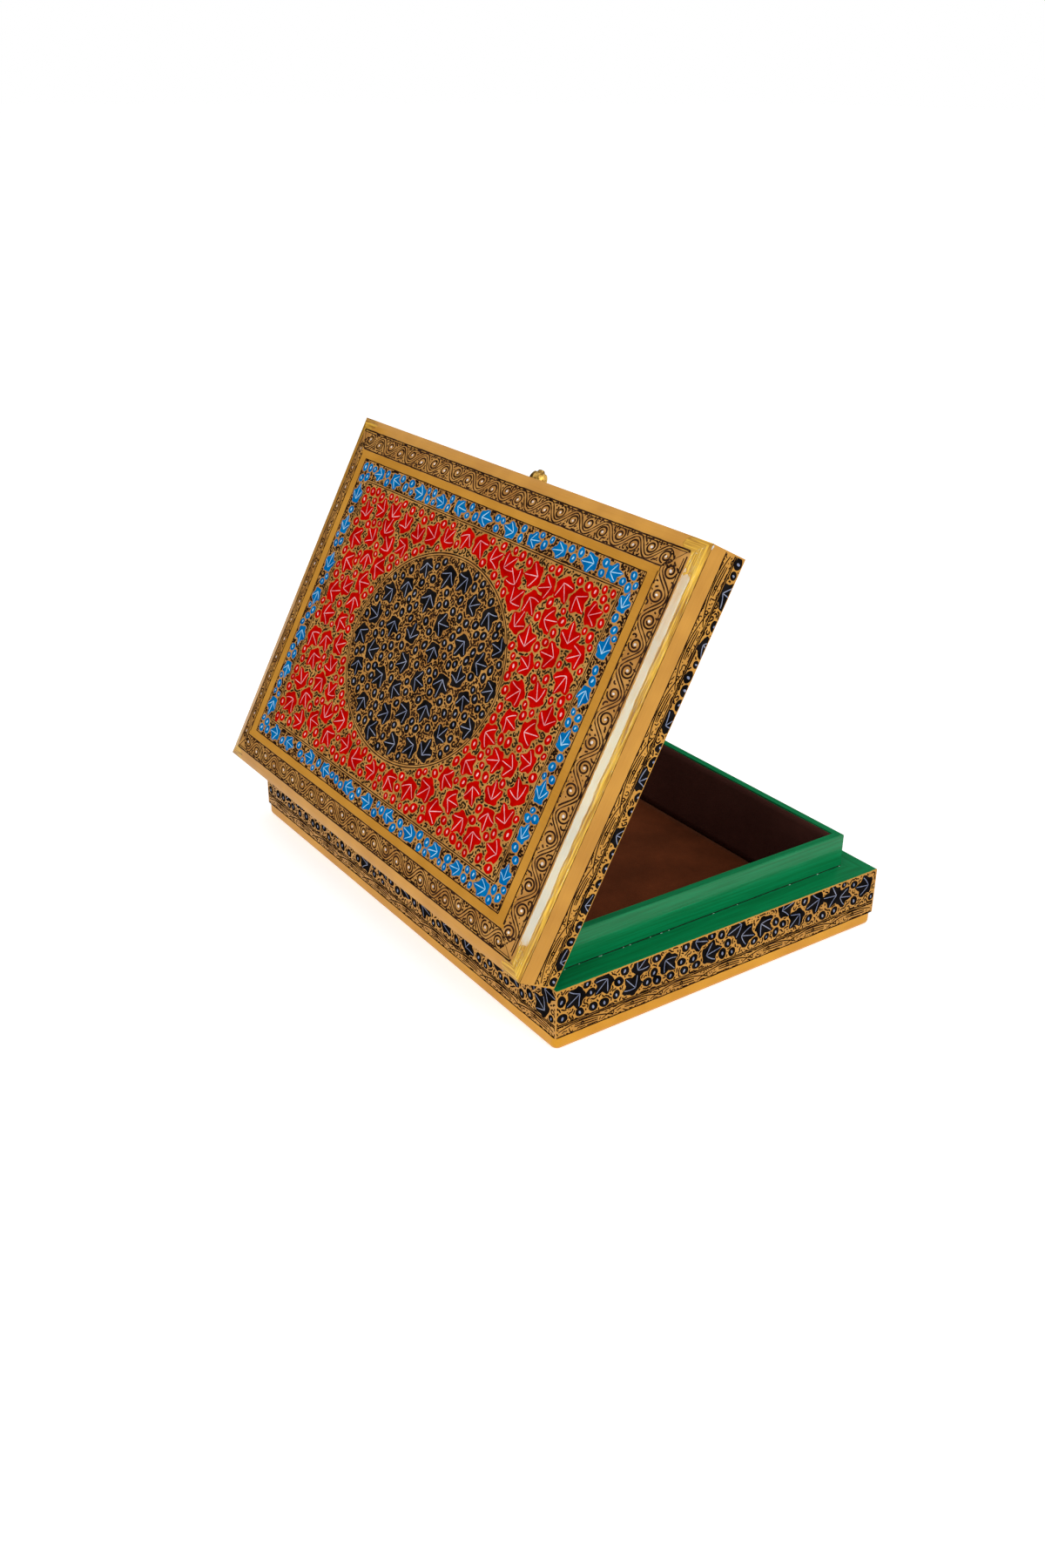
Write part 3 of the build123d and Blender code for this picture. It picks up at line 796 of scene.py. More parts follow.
def lid_gold(name):
    """Gold paint whose end shoulders and corners are brushed across in thick strokes, painted bright as a
    sheen.
    """
    made, tree = begin_material(name)
    place = add_node(tree, "TexCoord").outputs["Object"]
    place = add_node(tree, "Mapping", inputs={"Vector": place, **shut_mapping})
    colour, relief = gold_paint(tree, place, 0)
    across, across_relief = gold_paint(tree, place, 1)
    from_end, from_face = edge_distances(tree, place)
    end_part = add_node(tree, "Math", {"operation": "LESS_THAN"}, {0: from_end, 1: from_face})
    nearest = add_node(tree, "Math", {"operation": "MINIMUM"}, {0: from_end, 1: from_face})
    to_corner = add_node(tree, "Math", {"operation": "MAXIMUM"}, {0: from_end, 1: from_face})
    strokes = add_node(tree, "Mix", inputs={0: end_part, 2: relief, 3: across_relief})
    base = add_node(tree, "Mix", colour_mix, {mix_factor: end_part, mix_a: colour, mix_b: across})

    wander = add_node(tree, "TexNoise", inputs={"Vector": place, "Scale": 1 / rough_wander, "Detail": 2.0})
    edge = add_node(tree, "Math", {"operation": "MULTIPLY_ADD"}, {0: wander, 1: -rough_swing, 2: nearest})
    rough_and_sheen = add_node(tree, "MapRange", inputs={
        "Value": edge, "From Min": rough_full, "From Max": rough_none, "To Min": 1.0, "To Max": 0.0})
    rough_and_sheen = add_node(tree, "Math", {"operation": "MULTIPLY"}, {0: rough_and_sheen, 1: end_part})

    patches = add_node(tree, "TexNoise", inputs={"Vector": place, "Scale": 1 / worn_patch, "Detail": 2.0})
    edge = add_node(tree, "Math", {"operation": "MULTIPLY_ADD"}, {0: patches, 1: -worn_swing, 2: to_corner})
    worn_and_sheen = add_node(tree, "MapRange", inputs={
        "Value": edge, "From Min": worn_full, "From Max": worn_none, "To Min": 1.0, "To Max": 0.0})
    on_shoulder = add_node(tree, "Math", {"operation": "LESS_THAN"}, {0: nearest, 1: shoulder_width})
    worn_and_sheen = add_node(tree, "Math", {"operation": "MULTIPLY"}, {0: worn_and_sheen, 1: on_shoulder})
    rough_and_sheen = add_node(tree, "Math", {"operation": "MAXIMUM"}, {0: rough_and_sheen, 1: worn_and_sheen})

    # The rough strokes are painted a brighter yellow: a painted sheen on the brushed gold.
    sheen_gold = two_shades(tree, strokes, ridge_dark, ridge_sheen_light, ridge_low, ridge_high)
    deep = add_node(tree, "MapRange", inputs={
        "Value": rough_and_sheen, "To Min": smooth_relief, "To Max": rough_relief})
    height = add_node(tree, "Math", {"operation": "MULTIPLY"}, {0: strokes, 1: deep})
    colours = {mix_factor: rough_and_sheen, mix_a: base.outputs[mix_result], mix_b: sheen_gold}
    gold = add_node(tree, "Mix", colour_mix, colours)
    varnish(tree, gold.outputs[mix_result], height, roughness=0.4, metallic=0.1, coat_roughness=0.05,
            relief_depth=1.0)
    return made


dress(nodes["lid_top_panel"], lid_gold("gold_bronze_paint_lid"))

# Painted sides of the lid: plain gold, a line, the narrow vine, two lines and the leaf band,
# which the rim cuts off. It is the same brush and pen work as on the base.
rim_z = 2 * hinge_spot.z - wall_top
lid_vine_top, lid_vine_bottom, lid_band_top = 10.9 * mm, 5.7 * mm, 4.9 * mm
lid_leaf_pitch, lid_leaf_share, lid_buds_per_leaf = 24 * mm, 0.92, 4
lid_leaf_slips, lid_leaf_heights_in_mm, lid_leaf_turns = (0.35, 0.65), (-0.4, 1.4), (2.2, 3.4)
lid_bud_gap, lid_band_gap = 0.3 * mm, 0.1 * mm
lid_vine = (lid_vine_bottom + 0.2 * mm, lid_vine_top - 0.25 * mm)


def lid_side_place(side):
    """From a flat painting to a side of the lid where it stands open."""
    shut = side_place(side, rim_z)
    return lambda co: opening @ shut(co)


lid_areas = []
for side in sides:
    area = Painting(random.Random(f"lid side {side}"))
    rng = area.rng
    span = half_spans[side] - edge_margin
    low, high = (-span, edge_margin), (span, lid_band_top)
    count = round(2 * span / lid_leaf_pitch)
    places = [Vector((-span + (i + rng.uniform(*lid_leaf_slips)) * 2 * span / count,
                      rng.uniform(*lid_leaf_heights_in_mm) * mm)) for i in range(count)]
    turns = [rng.choice((-1, 1)) * rng.uniform(*lid_leaf_turns) for _ in places]
    leaf_painting(area, places, turns, lid_leaf_share * leaf_length)
    for_buds = within((-span, low[1] - bud_radius), (span, high[1] - lid_bud_gap))
    bud_painting(area, low, high, for_buds, lid_buds_per_leaf * count)
    scribble(area, low, high, within(low, high), band_pen, band_spacing)
    cut_to(area, low, (span, lid_band_top - lid_band_gap))
    wave_vine(area, (-span, lid_vine[0]), (span, lid_vine[1]))
    level_lines(area, span, (lid_vine_top, lid_vine_bottom, lid_band_top))
    lid_areas.append((area, lid_side_place(side)))
lay_painting("lid_side", lid_areas, "lid", black_paint, slate_paint, ink_paint)

# Crease of the lid: the joint under the panel, along which a thin brown line is painted as the shade in its
# groove.
# A flake has come off at the front corner and shows the white gesso ground.


def shut_box(name):
    """The low and the high corner of a lid node when the lid is shut."""
    corners = [closing @ vert.co for vert in nodes[name].data.vertices]
    return [Vector([limit(corner[i] for corner in corners) for i in range(3)]) for limit in (min, max)]


panel_z, panel_top = (corner.z for corner in shut_box("lid_top_panel"))
crease_height = panel_z - rim_z
crease_step, crease_width, crease_waver_in_mm, crease_widths = 1.9 * mm, 0.3 * mm, 0.06, (0.35, 1.3)
flake_starts = {"left": (half_width - 0.5 * mm, -1), "front": (-half_length + 1.2 * mm, 1)}
flake_step, flake_drop, flake_rise = 0.45 * mm, 0.5 * mm, 0.1 * mm
flake_widths = (0.3 * mm, 0.9 * mm, 0.7 * mm, 0.5 * mm, 0.15 * mm)
crease_films, flake_films = [], []
rng = random.Random("crease")
for side in sides:
    crease = bmesh.new()
    span = half_spans[side]
    count = ceil(2 * span / crease_step)
    points = [Vector((-span + 2 * span * i / count,
                      crease_height + rng.uniform(-crease_waver_in_mm, crease_waver_in_mm) * mm))
              for i in range(count + 1)]
    stroke(crease, points, [crease_width * rng.uniform(*crease_widths) for _ in points])
    crease_films.append((crease, lid_side_place(side)))
    if side in flake_starts:
        corner, way = flake_starts[side]
        flakes = bmesh.new()
        sliver = [Vector((corner + way * i * flake_step, crease_height - flake_drop + flake_rise * i))
                for i in range(len(flake_widths))]
        stroke(flakes, sliver, flake_widths)
        flake_films.append((flakes, lid_side_place(side)))

# The crease's line is a soft brown, painted shade of the groove; the gesso is chalk white.
lay_paint("lid_crease_line", crease_films, ink_depth, "lid",
          paint("painted_shade_in_the_crease", "#3C2410", "#6E4818"))
lay_paint("lid_gesso_flake", flake_films, leaf_depth, "lid", paint("white_gesso", "#D8D4CC", "#F4F2EE"))

# Glaze of the lid: a thin brown coat that was rubbed over the gold where the pen work comes, and
# the plain gold frame that was brushed on between them. Both are matt, and the glaze is a little
# browner than the gold beside it.
border_width = 9.0 * mm
slope_end = shoulder_width + border_width
shoulder_rise, panel_rise = 2.65 * mm, panel_top - panel_z
glaze_depth, glaze_patch, seam = 0.012 * mm, 9 * mm, 0.05 * mm
blue_outer = Vector((106.0, 71.0)) * mm
glaze, gold_frame = bmesh.new(), bmesh.new()


def lid_top_place(co):
    """From a flat painting to the top of the lid where it stands open."""
    inset = min(half_length - abs(co.x), half_width - abs(co.y))
    share = max(0.0, min(1.0, (inset - shoulder_width) / border_width))
    height = shoulder_rise + share * (panel_rise - shoulder_rise)
    return opening @ Vector((co.x, co.y, panel_z + height + co.z))


def corners_of(half):
    """The corners of a rectangle, in order, from half its size."""
    return [Vector((half.x * a, half.y * b)) for a, b in ((-1, -1), (1, -1), (1, 1), (-1, 1))]


def flat_patch(film, corners):
    """A flat patch between four corners that go round it."""
    film.faces.new([film.verts.new(corner.to_3d()) for corner in corners])


def flat_frame(film, outer, inner):
    """A flat frame between two rectangles, in four mitred patches."""
    outer, inner = corners_of(outer), corners_of(inner)
    for i in range(4):
        flat_patch(film, [outer[i], outer[i - 3], inner[i - 3], inner[i]])


def half_inset(distance):
    """Half the size of the lid at a distance in from its edge."""
    return Vector((half_length - distance, half_width - distance))


flat_patch(glaze, corners_of(blue_outer))
flat_frame(glaze, half_inset(shoulder_width + seam), half_inset(slope_end - seam))
lay_paint("lid_brown_glaze", [(glaze, lid_top_place)], glaze_depth, "lid",
          paint("brown_glaze_on_gold", "#A8743A", "#C4904E", patch_size=glaze_patch))

# The frame's gold has no varnish, so it looks flat beside the shoulder.
flat_frame(gold_frame, half_inset(slope_end + seam), blue_outer + Vector((seam, seam)))
lay_paint("lid_gold_frame", [(gold_frame, lid_top_place)], glaze_depth, "lid",
          one_coat("matt_gold_bronze_paint", gold_paint, 0, "#B47C2C", "#CC923C",
                   roughness=0.5, metallic=0.0, coat_roughness=0.3, gloss=0.0))

# Scroll border of the lid: a running vine in pen with a spiral in each bend and a white dot in each.
# It lies on the panel's sloped border between ruled lines, and the pen work on the end strips is drawn
# looser so they read lighter, a painted sheen for the glare along the lid's ends.
scroll_outer, scroll_inner = Vector((120.1, 84.2)) * mm, Vector((111.1, 75.2)) * mm
scroll_line_gap_in_mm, fine_line_width, mitre_line_width = 0.95, 0.36 * mm, 0.3 * mm
scroll_cell, scroll_swing, scroll_margin, scroll_end_margin = 9.6 * mm, 3.4 * mm, 0.35 * mm, 0.3 * mm
vine_offsets_in_mm, vine_steps, vine_keep_share = (-0.65, 0.65), 8, 0.9
vine_width, vine_widths, vine_ring = 0.56 * mm, (0.6, 1.4), 0.8 * mm
eye_off, eye_waver_in_mm, spiral_turns, spiral_points = 0.75 * mm, 0.15, (1.2, 1.5), 27
spiral_reach_in_mm, spiral_shrink_in_mm, spiral_long_share = 2.8, 1.85, 1.1
spiral_pen, spiral_ring = 0.84 * mm, 0.9 * mm
dot_squashes, dot_radius, dot_turns, dot_ring = (0.8, 1.0, 1.2), 0.55 * mm, (-0.6, 0.6), 0.7 * mm
scroll_pen, scroll_spacing, end_sheen_looseness = 0.8 * mm, 0.74 * mm, 1.9


def frame_lines(area, half, width):
    """Four ruled lines that make a rectangle."""
    corners = corners_of(half)
    for a, b in zip(corners, corners[1:] + corners[:1]):
        ruled(area, a, b, width)


dot_motifs = []
for squash in dot_squashes:
    dot = bmesh.new()
    for vert in new_disc(dot, dab_corners, dot_radius):
        vert.co.x *= squash
    dot_motifs.append(film_mesh(dot, "dot"))
rng = random.Random("scroll")
scroll = Painting(rng)
frame_lines(scroll, scroll_outer, line_width)
frame_lines(scroll, scroll_inner, line_width)
scroll_fine = scroll_outer - Vector((scroll_line_gap_in_mm, scroll_line_gap_in_mm)) * mm
frame_lines(scroll, scroll_fine, fine_line_width)
middle = (scroll_outer + scroll_inner) / 2
half_band = (scroll_outer.x - scroll_inner.x) / 2
for index in range(4):
    half_span, off = middle[index % 2], middle[1 - index % 2]
    bends = round(2 * half_span / scroll_cell)
    bends -= bends % 2
    pitch = 2 * half_span / bends
    strip = Painting(rng)

    def inside(x, y, half_span=half_span):
        return abs(y) < half_band - scroll_margin and abs(x) < half_span - y - scroll_end_margin

    for offset in vine_offsets_in_mm:
        points = []
        for step in range(bends * vine_steps + 1):
            x = -half_span + 2 * half_span * step / (bends * vine_steps)
            lift = scroll_swing * sin(pi * (x + half_span) / pitch)
            slope = scroll_swing * pi / pitch * cos(pi * (x + half_span) / pitch)
            side_way = Vector((-slope, 1)).normalized()
            points.append(Vector((x, lift)) + side_way * offset * mm)
        points = [p for p in points if inside(p.x, p.y * vine_keep_share)]
        stroke(strip.ink, points, [vine_width * rng.uniform(*vine_widths) for _ in points])
        take_line(strip.taken, points, vine_ring)
    for bend in range(bends):
        way = 1 if bend % 2 == 0 else -1
        waver = rng.uniform(-eye_waver_in_mm, eye_waver_in_mm) * mm
        centre = Vector((-half_span + (bend + 0.5) * pitch, -way * eye_off + waver))
        hand = rng.choice((-1, 1))
        turns = rng.uniform(*spiral_turns)
        points = []
        for step in range(spiral_points):
            share = step / (spiral_points - 1)
            reach = (spiral_reach_in_mm - spiral_shrink_in_mm * share) * mm
            angle = -way * pi / 2 + hand * (2 * pi * turns * share)
            points.append(centre + Vector((cos(angle) * spiral_long_share, sin(angle))) * reach)
        stroke(strip.ink, points, tapered(spiral_points, spiral_pen))
        take_line(strip.taken, points, spiral_ring)
        motif = rng.choice(dot_motifs)
        for spot in stamp(strip.marks, motif, centre.x, centre.y, rng.uniform(*dot_turns)):
            strip.taken.update(cells_near(spot.x, spot.y, dot_ring))
    high = (half_span + half_band, half_band)
    # The end strips get sparser pen work, so they read lighter: a painted sheen.
    sheen_looseness = 1.0 if index % 2 == 0 else end_sheen_looseness
    scribble(strip, (-high[0], -high[1]), high, inside, scroll_pen, scroll_spacing * sheen_looseness)
    laid = quarter_turns(index) @ Matrix.Translation((0, -off, 0)) @ Matrix.Diagonal((1, -1, 1, 1))
    for film, whole in ((strip.ink, scroll.ink), (strip.marks, scroll.marks)):
        bmesh.ops.transform(film, matrix=laid, verts=film.verts)
        join_film(whole, film)
for a in (-1, 1):
    for b in (-1, 1):
        start = Vector((scroll_inner.x * a, scroll_inner.y * b))
        end = Vector((scroll_outer.x * a, scroll_outer.y * b))
        ruled(scroll, start, end, mitre_line_width)

# The thin pen ink looks brown over the glaze; the dots are small raised drops of off-white.
lay_paint("lid_scroll_pen_lines", [(scroll.ink, lid_top_place)], ink_depth, "lid",
          paint("brown_pen_ink", "#22150E", "#3E291D", roughness=0.6))
lay_paint("lid_scroll_dots", [(scroll.marks, lid_top_place)], mark_depth, "lid",
          paint("white_dot_paint", "#C9BEB6", "#ECE6E0", roughness=0.3))

# Blue band of the lid: one row of leaves and buds between ruled lines, over pen scribble.
# The leaves are brushed in opaque blue poster paint, which looks strong and even, and their veins
# and dabs in pale blue.
blue_width, blue_line_width, blue_line_gap_in_mm = 9.5 * mm, 0.5 * mm, 0.9
blue_margins = (0.45 * mm, 1.0 * mm)
blue_pitch, blue_slip_in_mm, blue_off_in_mm, blue_lean = 18.5 * mm, 2.2, 0.3, 0.22
blue_leaf_length, blue_leaf_width_share, blue_buds_per_leaf, blue_bud_scale = 7.7 * mm, 0.78, 3, 0.9
pen_width, close_spacing = 1.0 * mm, 0.7 * mm
blue_inner = blue_outer - Vector((blue_width, blue_width))
blue = Painting(random.Random("blue"))
frame_lines(blue, blue_outer, blue_line_width)
frame_lines(blue, blue_inner, blue_line_width)
frame_lines(blue, blue_inner + Vector((blue_line_gap_in_mm, blue_line_gap_in_mm)) * mm, fine_line_width)


def beyond(x, y, half):
    """How far a place lies outside a rectangle, below 0 inside it."""
    return max(abs(x) - half.x, abs(y) - half.y)


def in_blue(x, y):
    """Inside the blue band, clear of its lines."""
    return beyond(x, y, blue_outer) < -blue_margins[0] and beyond(x, y, blue_inner) > blue_margins[1]


places, turns = [], []
row = (blue_outer + blue_inner) / 2
for index in range(4):
    half_span, off = row[index % 2], row[1 - index % 2]
    count = round(2 * half_span / blue_pitch)
    for i in range(count):
        slip = blue.rng.uniform(-blue_slip_in_mm, blue_slip_in_mm) * mm
        x = -half_span + (i + 0.5) * 2 * half_span / count + slip
        y = -off + blue.rng.uniform(-blue_off_in_mm, blue_off_in_mm) * mm
        places.append(Matrix.Rotation(index * pi / 2, 2) @ Vector((x, y)))
        side_way = blue.rng.choice((-1, 1)) * pi / 2
        turns.append(index * pi / 2 + side_way + blue.rng.uniform(-blue_lean, blue_lean))
leaf_painting(blue, places, turns, blue_leaf_length, blue_leaf_width_share)
bud_painting(blue, -blue_outer, blue_outer, in_blue, blue_buds_per_leaf * len(places), blue_bud_scale)
scribble(blue, -blue_outer, blue_outer, in_blue, pen_width, close_spacing)
lay_painting("lid_blue", [(blue, lid_top_place)], "lid",
             paint("blue_poster_paint", "#005C9C", "#0276B6"),
             paint("pale_blue_paint", "#7CBEE2", "#BCE2F6"), ink_paint)

# Medallion: an oval of black leaves and buds inside two thin lines, over the densest scribble.
# It is brushed and penned in the same black, slate white and ink as the sides of the box.
oval_centre, oval_reach = Vector((3.2, -0.5)) * mm, Vector((57.0, 47.0)) * mm
oval_steps, oval_line_widths = 144, (0.8, 1.25)
oval_lines = ((0.0, 0.55 * mm), (-1.1 * mm, fine_line_width))  # how far each is grown, and its width
oval_margin, oval_leaves, oval_leaf_length, leaf_tries = 1.5 * mm, 37, 8.6 * mm, 16
oval_buds, oval_bud_scale = 110, 0.93
oval = Painting(random.Random("medallion"))


def oval_share(x, y, grown=0.0):
    """How far out a place lies in the oval, 1 on its line."""
    return hypot((x - oval_centre.x) / (oval_reach.x + grown),
                 (y - oval_centre.y) / (oval_reach.y + grown))


def in_oval(x, y):
    """Inside the medallion's inner line."""
    return oval_share(x, y, -oval_margin) < 1


for grown, width in oval_lines:
    points = []
    for step in range(oval_steps + 1):
        angle = 2 * pi * step / oval_steps
        reach = Vector(((oval_reach.x + grown) * cos(angle), (oval_reach.y + grown) * sin(angle)))
        points.append(oval_centre + reach)
    points[-1] = points[0]
    widths = [width * oval.rng.uniform(*oval_line_widths) for _ in points[:-1]]
    stroke(oval.ink, points, widths + [width])
low, high = oval_centre - oval_reach, oval_centre + oval_reach
places = spread(oval.rng, oval_leaves, low, high, in_oval)
turns = [oval.rng.uniform(0, 2 * pi) for _ in places]
leaf_painting(oval, places, turns, oval_leaf_length, tries=leaf_tries)
bud_painting(oval, low, high, in_oval, oval_buds, oval_bud_scale)
scribble(oval, low, high, in_oval, pen_width, close_spacing)
lay_painting("lid_medallion", [(oval, lid_top_place)], "lid", black_paint, slate_paint, ink_paint)

# Red field of the lid: the largest leaves, between the medallion and the blue band.
# They are brushed in opaque red poster paint, which looks strong and even, with veins in pink
# white, and the pen's ink looks olive there.
red_margins, red_leaf_margins = (0.8 * mm, 0.8 * mm), (4.0 * mm, 3.6 * mm)  # from band and oval
red_leaves, red_leaf_length, red_buds = 83, 9.0 * mm, 300
red_pen, red_spacing = 0.92 * mm, 0.76 * mm
red = Painting(random.Random("red"))


def in_field(x, y, margins=red_margins):
    """In the red field, clear of its lines."""
    return beyond(x, y, blue_inner) < -margins[0] and oval_share(x, y, margins[1]) > 1


def in_field_for_leaves(x, y):
    """Where the middle of a leaf may lie, so that it keeps off the lines."""
    return in_field(x, y, red_leaf_margins)


places = spread(red.rng, red_leaves, -blue_inner, blue_inner, in_field_for_leaves)
turns = [red.rng.uniform(0, 2 * pi) for _ in places]
leaf_painting(red, places, turns, red_leaf_length, tries=leaf_tries)
bud_painting(red, -blue_inner, blue_inner, in_field, red_buds)
scribble(red, -blue_inner, blue_inner, in_field, red_pen, red_spacing)
lay_painting("lid_red", [(red, lid_top_place)], "lid", paint("red_poster_paint", "#A80200", "#CA0802"),
             paint("pink_white_paint", "#E07C82", "#F4C4C6"),
             paint("olive_black_pen_ink", "#1A140C", "#2E2414", roughness=0.6))

# Lid velvet: one sheet of the same short pile, cut to the lid's inside and glued under the top
# panel, so the lid's inside matches the well's floor.
velvet_low, velvet_high = shut_box("lid_velvet")
lid_sheet_spot = Vector(((velvet_low.x + velvet_high.x) / 2, (velvet_low.y + velvet_high.y) / 2,
                         velvet_high.z - velvet_back))
velvet_sheet("lid_lining_velvet", "lid_velvet", "lid",
             velvet_high.x - velvet_low.x, velvet_high.y - velvet_low.y,
             opening @ Matrix.Translation(lid_sheet_spot) @ mirrored,
             floor_velvet, "stretched", ["lid_top_panel"])

# Hinges, catch, nails, screws and clasp wire: stamped and rolled brass, screwed and nailed on.
# The brass was polished and has dulled unevenly, so it is bright yellow with fine scratches and
# brown tarnish in patches.
brass_pieces = ("left_hinge_base_leaf", "left_hinge_lid_leaf", "right_hinge_base_leaf",
                "right_hinge_lid_leaf", "left_hinge_pin", "right_hinge_pin", "base_hinge_screws",
                "lid_hinge_screws", "catch_plate", "catch_nails", "strike_nails", "clasp_loop")
scratch_width, scratch_length, scratch_depth = 0.15 * mm, 3 * mm, 0.01 * mm
tarnish_patch, tarnish_low, tarnish_high = 1.6 * mm, 0.42, 0.68
stamped_brass, tree = begin_material("stamped_brass")
place = add_node(tree, "TexCoord").outputs["Object"]
scratches = brush_marks(tree, place, 0, scratch_width, scratch_length, 2.0)
tarnish = add_node(tree, "TexNoise", inputs={"Vector": place, "Scale": 1 / tarnish_patch, "Detail": 4.0})
dullness = add_node(tree, "MapRange", inputs={
    "Value": tarnish, "From Min": 0.3, "From Max": 0.7, "To Min": 0.18, "To Max": 0.5})
bump = add_node(tree, "Bump", inputs={"Height": scratches, "Distance": scratch_depth})
shader = add_node(tree, "BsdfPrincipled", inputs={
    "Base Color": two_shades(tree, tarnish, "#D6AA55", "#74501C", tarnish_low, tarnish_high),
    "Metallic": 1.0, "Roughness": dullness, "Normal": bump})
add_node(tree, "OutputMaterial", inputs={"Surface": shader})
for name in brass_pieces:
    dress(nodes[name], stamped_brass)

# Clasp strike: a small plate pressed from brass sheet, nailed to the lid's front.
# Its dome, over which the wire loop is pulled, is fluted, with a groove round it halfway out.
strike_low, strike_high = shut_box("clasp_strike")
strike_size = strike_high - strike_low
plate_thickness, plate_corner, plate_edge = 0.6 * mm, 1.9 * mm, 0.15 * mm
plate_corner_steps, plate_edge_steps, close_enough = 5, 2, 0.01 * mm
dome_reach, dome_rise, dome_cut = Vector((5.3, 3.1)) * mm, 5.0 * mm, -0.2
dome_columns, dome_rows = 42, 20
flutes, flute_share, flute_start, flute_end = 9, 0.24, 4, 1.05
groove_share, groove_at, groove_width, off_centre = 0.2, 0.5, 0.1, 1e-9
flat_above = 2 * mm * mm  # faces larger than this are flat parts of the plate
strike = bmesh.new()
plate = bmesh.ops.create_cube(strike, size=1.0)["verts"]
bmesh.ops.scale(strike, vec=(strike_size.x, strike_size.z, plate_thickness), verts=plate)
bmesh.ops.translate(strike, vec=(0, 0, plate_thickness / 2), verts=plate)
upright = [edge for edge in strike.edges
           if abs(edge.verts[0].co.z - edge.verts[1].co.z) > plate_thickness / 2]
bmesh.ops.bevel(strike, geom=upright, offset=plate_corner, segments=plate_corner_steps, profile=0.5,
                affect="EDGES", material=-1)
rim = [edge for edge in strike.edges
       if min(vert.co.z for vert in edge.verts) > plate_thickness - close_enough]
bmesh.ops.bevel(strike, geom=rim, offset=plate_edge, segments=plate_edge_steps, profile=0.5,
                affect="EDGES", material=-1)
dome = bmesh.ops.create_uvsphere(strike, u_segments=dome_columns, v_segments=dome_rows,
                                 radius=1.0)["verts"]
bmesh.ops.delete(strike, geom=[vert for vert in dome if vert.co.z < dome_cut], context="VERTS")
for vert in [vert for vert in dome if vert.is_valid]:
    angle = Vector((vert.co.x, vert.co.y + off_centre)).angle_signed(Vector((1, 0)))
    out = hypot(vert.co.x, vert.co.y)
    fluted = (0.5 - 0.5 * cos(flutes * angle)) * min(1.0, flute_start * out * (flute_end - out))
    reach = 1 - flute_share * fluted
    groove = 1 - groove_share * exp(-((out - groove_at) / groove_width) ** 2)
    vert.co = (vert.co.x * dome_reach.x * reach, vert.co.y * dome_reach.y * reach,
               plate_thickness + vert.co.z * dome_rise * groove)
bmesh.ops.holes_fill(strike, edges=[edge for edge in strike.edges if edge.is_boundary], sides=0)
strike_spot = Vector((0, -half_width, (strike_low.z + strike_high.z) / 2))
upright_plate = Matrix.Translation(strike_spot) @ Matrix.Rotation(pi / 2, 4, "X")
bmesh.ops.transform(strike, matrix=opening @ upright_plate, verts=strike.verts)
face_outwards(strike)
strike_piece = new_piece("clasp_strike_plate", strike, stamped_brass)
for face in strike_piece.data.polygons:
    face.use_smooth = len(face.vertices) <= 4 and face.area < flat_above
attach(strike_piece, "lid")
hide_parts("clasp_strike")

# Studio: a plain pale floor under a white surround, as the camera and reflections see them.
# A tall strip lamp shows only as a streak along the lid's end shoulder; a glow lamp behind it, a
# key lamp overhead and a fill at the left light the paint. Two black cards at the right are seen
# by reflections alone and keep glare off the lid's flat face.
floor_half, floor_glow = 15.0, 0.57
world_light, world_seen = 0.5, 1.0


def seen_directly(tree):
    """1 for what the camera, a reflection or glass sees, and 0 for the light a surface gives off."""
    rays = add_node(tree, "LightPath")
    seen = add_node(tree, "Math", {"operation": "MAXIMUM"},
                    {0: rays.outputs["Is Camera Ray"], 1: rays.outputs["Is Glossy Ray"]})
    seen = add_node(tree, "Math", {"operation": "MAXIMUM"},
                    {0: seen, 1: rays.outputs["Is Transmission Ray"]})
    return seen


def stage_sheet(name, place, material):
    """A flat sheet of the studio."""
    film = bmesh.new()
    bmesh.ops.create_grid(film, x_segments=1, y_segments=1, size=1.0)
    bmesh.ops.transform(film, matrix=place, verts=film.verts)
    piece = new_piece(name, film, material)
    return piece


# White paper: matt and plain, lifted to near white where it is seen, so only the shadow shows.
floor_paper, tree = begin_material("white_paper_floor")
plain = add_node(tree, "BsdfDiffuse", inputs={"Color": linear("#F0F0F0")})
lifted = add_node(tree, "Emission", inputs={"Color": linear("#FFFFFF"), "Strength": floor_glow})
both = add_node(tree, "AddShader", inputs={0: plain, 1: lifted})
either = add_node(tree, "MixShader", inputs={0: seen_directly(tree), 1: plain, 2: both})
add_node(tree, "OutputMaterial", inputs={"Surface": either})
stage_sheet("studio_floor", Matrix.Diagonal((floor_half, floor_half, 1, 1)), floor_paper)

world = bpy.data.worlds.new("studio")
bpy.context.scene.world = world
world.use_nodes = True
tree = world.node_tree
tree.nodes.clear()
strength = add_node(tree, "MapRange", inputs={
    "Value": seen_directly(tree), "To Min": world_light, "To Max": world_seen})
sky = add_node(tree, "Background", inputs={"Color": linear("#FFFFFF"), "Strength": strength})
add_node(tree, "OutputWorld", inputs={"Surface": sky})


def softbox(name, spot, aim, width, height, radiance, colour="#FFFFFF",
            seen_in_gloss=True, lights_matt=True):
    """A rectangular softbox of a plain brightness, aimed at a point and not seen by the camera."""
    lamp = bpy.data.lights.new(name, "AREA")
    lamp.shape = "RECTANGLE"
    lamp.size, lamp.size_y = width, height
    lamp.energy = radiance * pi * width * height
    lamp.color = linear(colour)[:3]
    holder = bpy.data.objects.new(name, lamp)
    holder.location = spot
    holder.rotation_euler = (Vector(aim) - Vector(spot)).to_track_quat("-Z", "Y").to_euler()
    holder.visible_camera = False
    holder.visible_glossy = seen_in_gloss
    holder.visible_diffuse = lights_matt
    bpy.context.scene.collection.objects.link(holder)


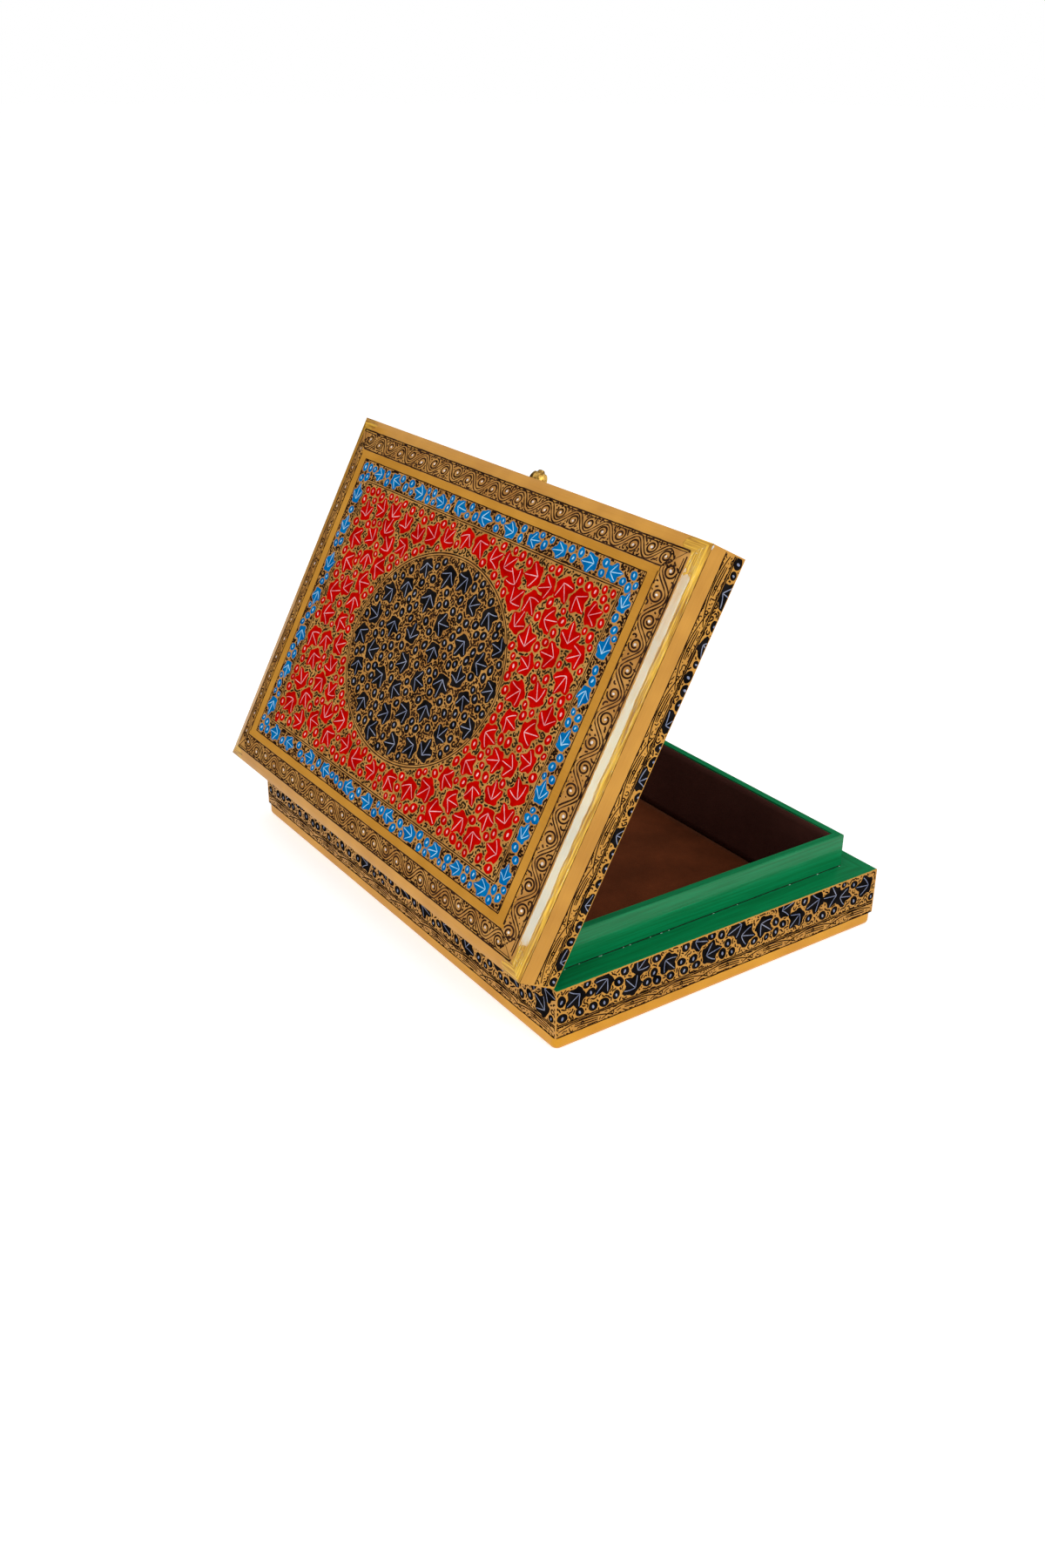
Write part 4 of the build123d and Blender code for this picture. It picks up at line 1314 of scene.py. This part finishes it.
softbox("strip_softbox", (0.022, 0.9, 0.485), (0.022, 0, 0.485), width=0.075, height=0.47,
        radiance=38.0, colour="#70D8FF", lights_matt=False)
softbox("glow_softbox", (-0.27, 0.92, 0.475), (-0.27, 0, 0.475), width=0.4, height=0.7, radiance=3.2,
        seen_in_gloss=False)
softbox("key_softbox", (-0.25, 0.7, 1.5), (0, 0, 0.1), width=0.8, height=0.8, radiance=1.6)
softbox("fill_softbox", (-1.3, -0.1, 0.9), (-0.1, 0, 0.05), width=1.0, height=1.0, radiance=2.6)

# Black card: matt board that only darkens what is reflected.
card_places = {"black_card_low": ((1.15, 0.7, 0.4), (0.4, 1.0)),
               "black_card_high": ((1.15, -1.1, 0.72), (0.72, 0.8))}  # middle, and half its size
card_board, tree = begin_material("black_card_paint")
plain = add_node(tree, "BsdfDiffuse", inputs={"Color": linear("#050505")})
add_node(tree, "OutputMaterial", inputs={"Surface": plain})
for name, (middle, half) in card_places.items():
    upright = Matrix.Translation(middle) @ Matrix.Rotation(pi / 2, 4, "Y")
    card = stage_sheet(name, upright @ Matrix.Diagonal((*half, 1, 1)), card_board)
    card.visible_camera = False
    card.visible_diffuse = False
    card.visible_shadow = False
    card.visible_transmission = False

# Camera: it stands where the photograph was taken, off the box's back left corner, and looks down
# on it. Its turn, lift, roll, slide and lens are what fitted the box to the photograph.
camera_turn, camera_lift, camera_roll = radians(234.77), radians(25.64), radians(0.80)
camera_distance, camera_lens, camera_sensor = 705.68 * mm, 34.157, 36
camera_aim, camera_slide = Vector((0, 0, 60)) * mm, Vector((-14.38, -14.79)) * mm
back = Vector((sin(camera_turn) * cos(camera_lift), -cos(camera_turn) * cos(camera_lift),
               sin(camera_lift)))
right = Vector((0, 0, 1)).cross(back).normalized()
up = back.cross(right)
spot = camera_aim + back * camera_distance + right * camera_slide.x + up * camera_slide.y
rolled_right = cos(camera_roll) * right + sin(camera_roll) * up
rolled_up = -sin(camera_roll) * right + cos(camera_roll) * up
camera = bpy.data.objects.new("camera", bpy.data.cameras.new("camera"))
bpy.context.scene.collection.objects.link(camera)
camera.data.sensor_width, camera.data.lens = camera_sensor, camera_lens
facing = Matrix((rolled_right, rolled_up, back)).transposed().to_4x4()
camera.matrix_world = Matrix.Translation(spot) @ facing
bpy.context.scene.camera = camera
bpy.context.scene.view_settings.view_transform = "Standard"
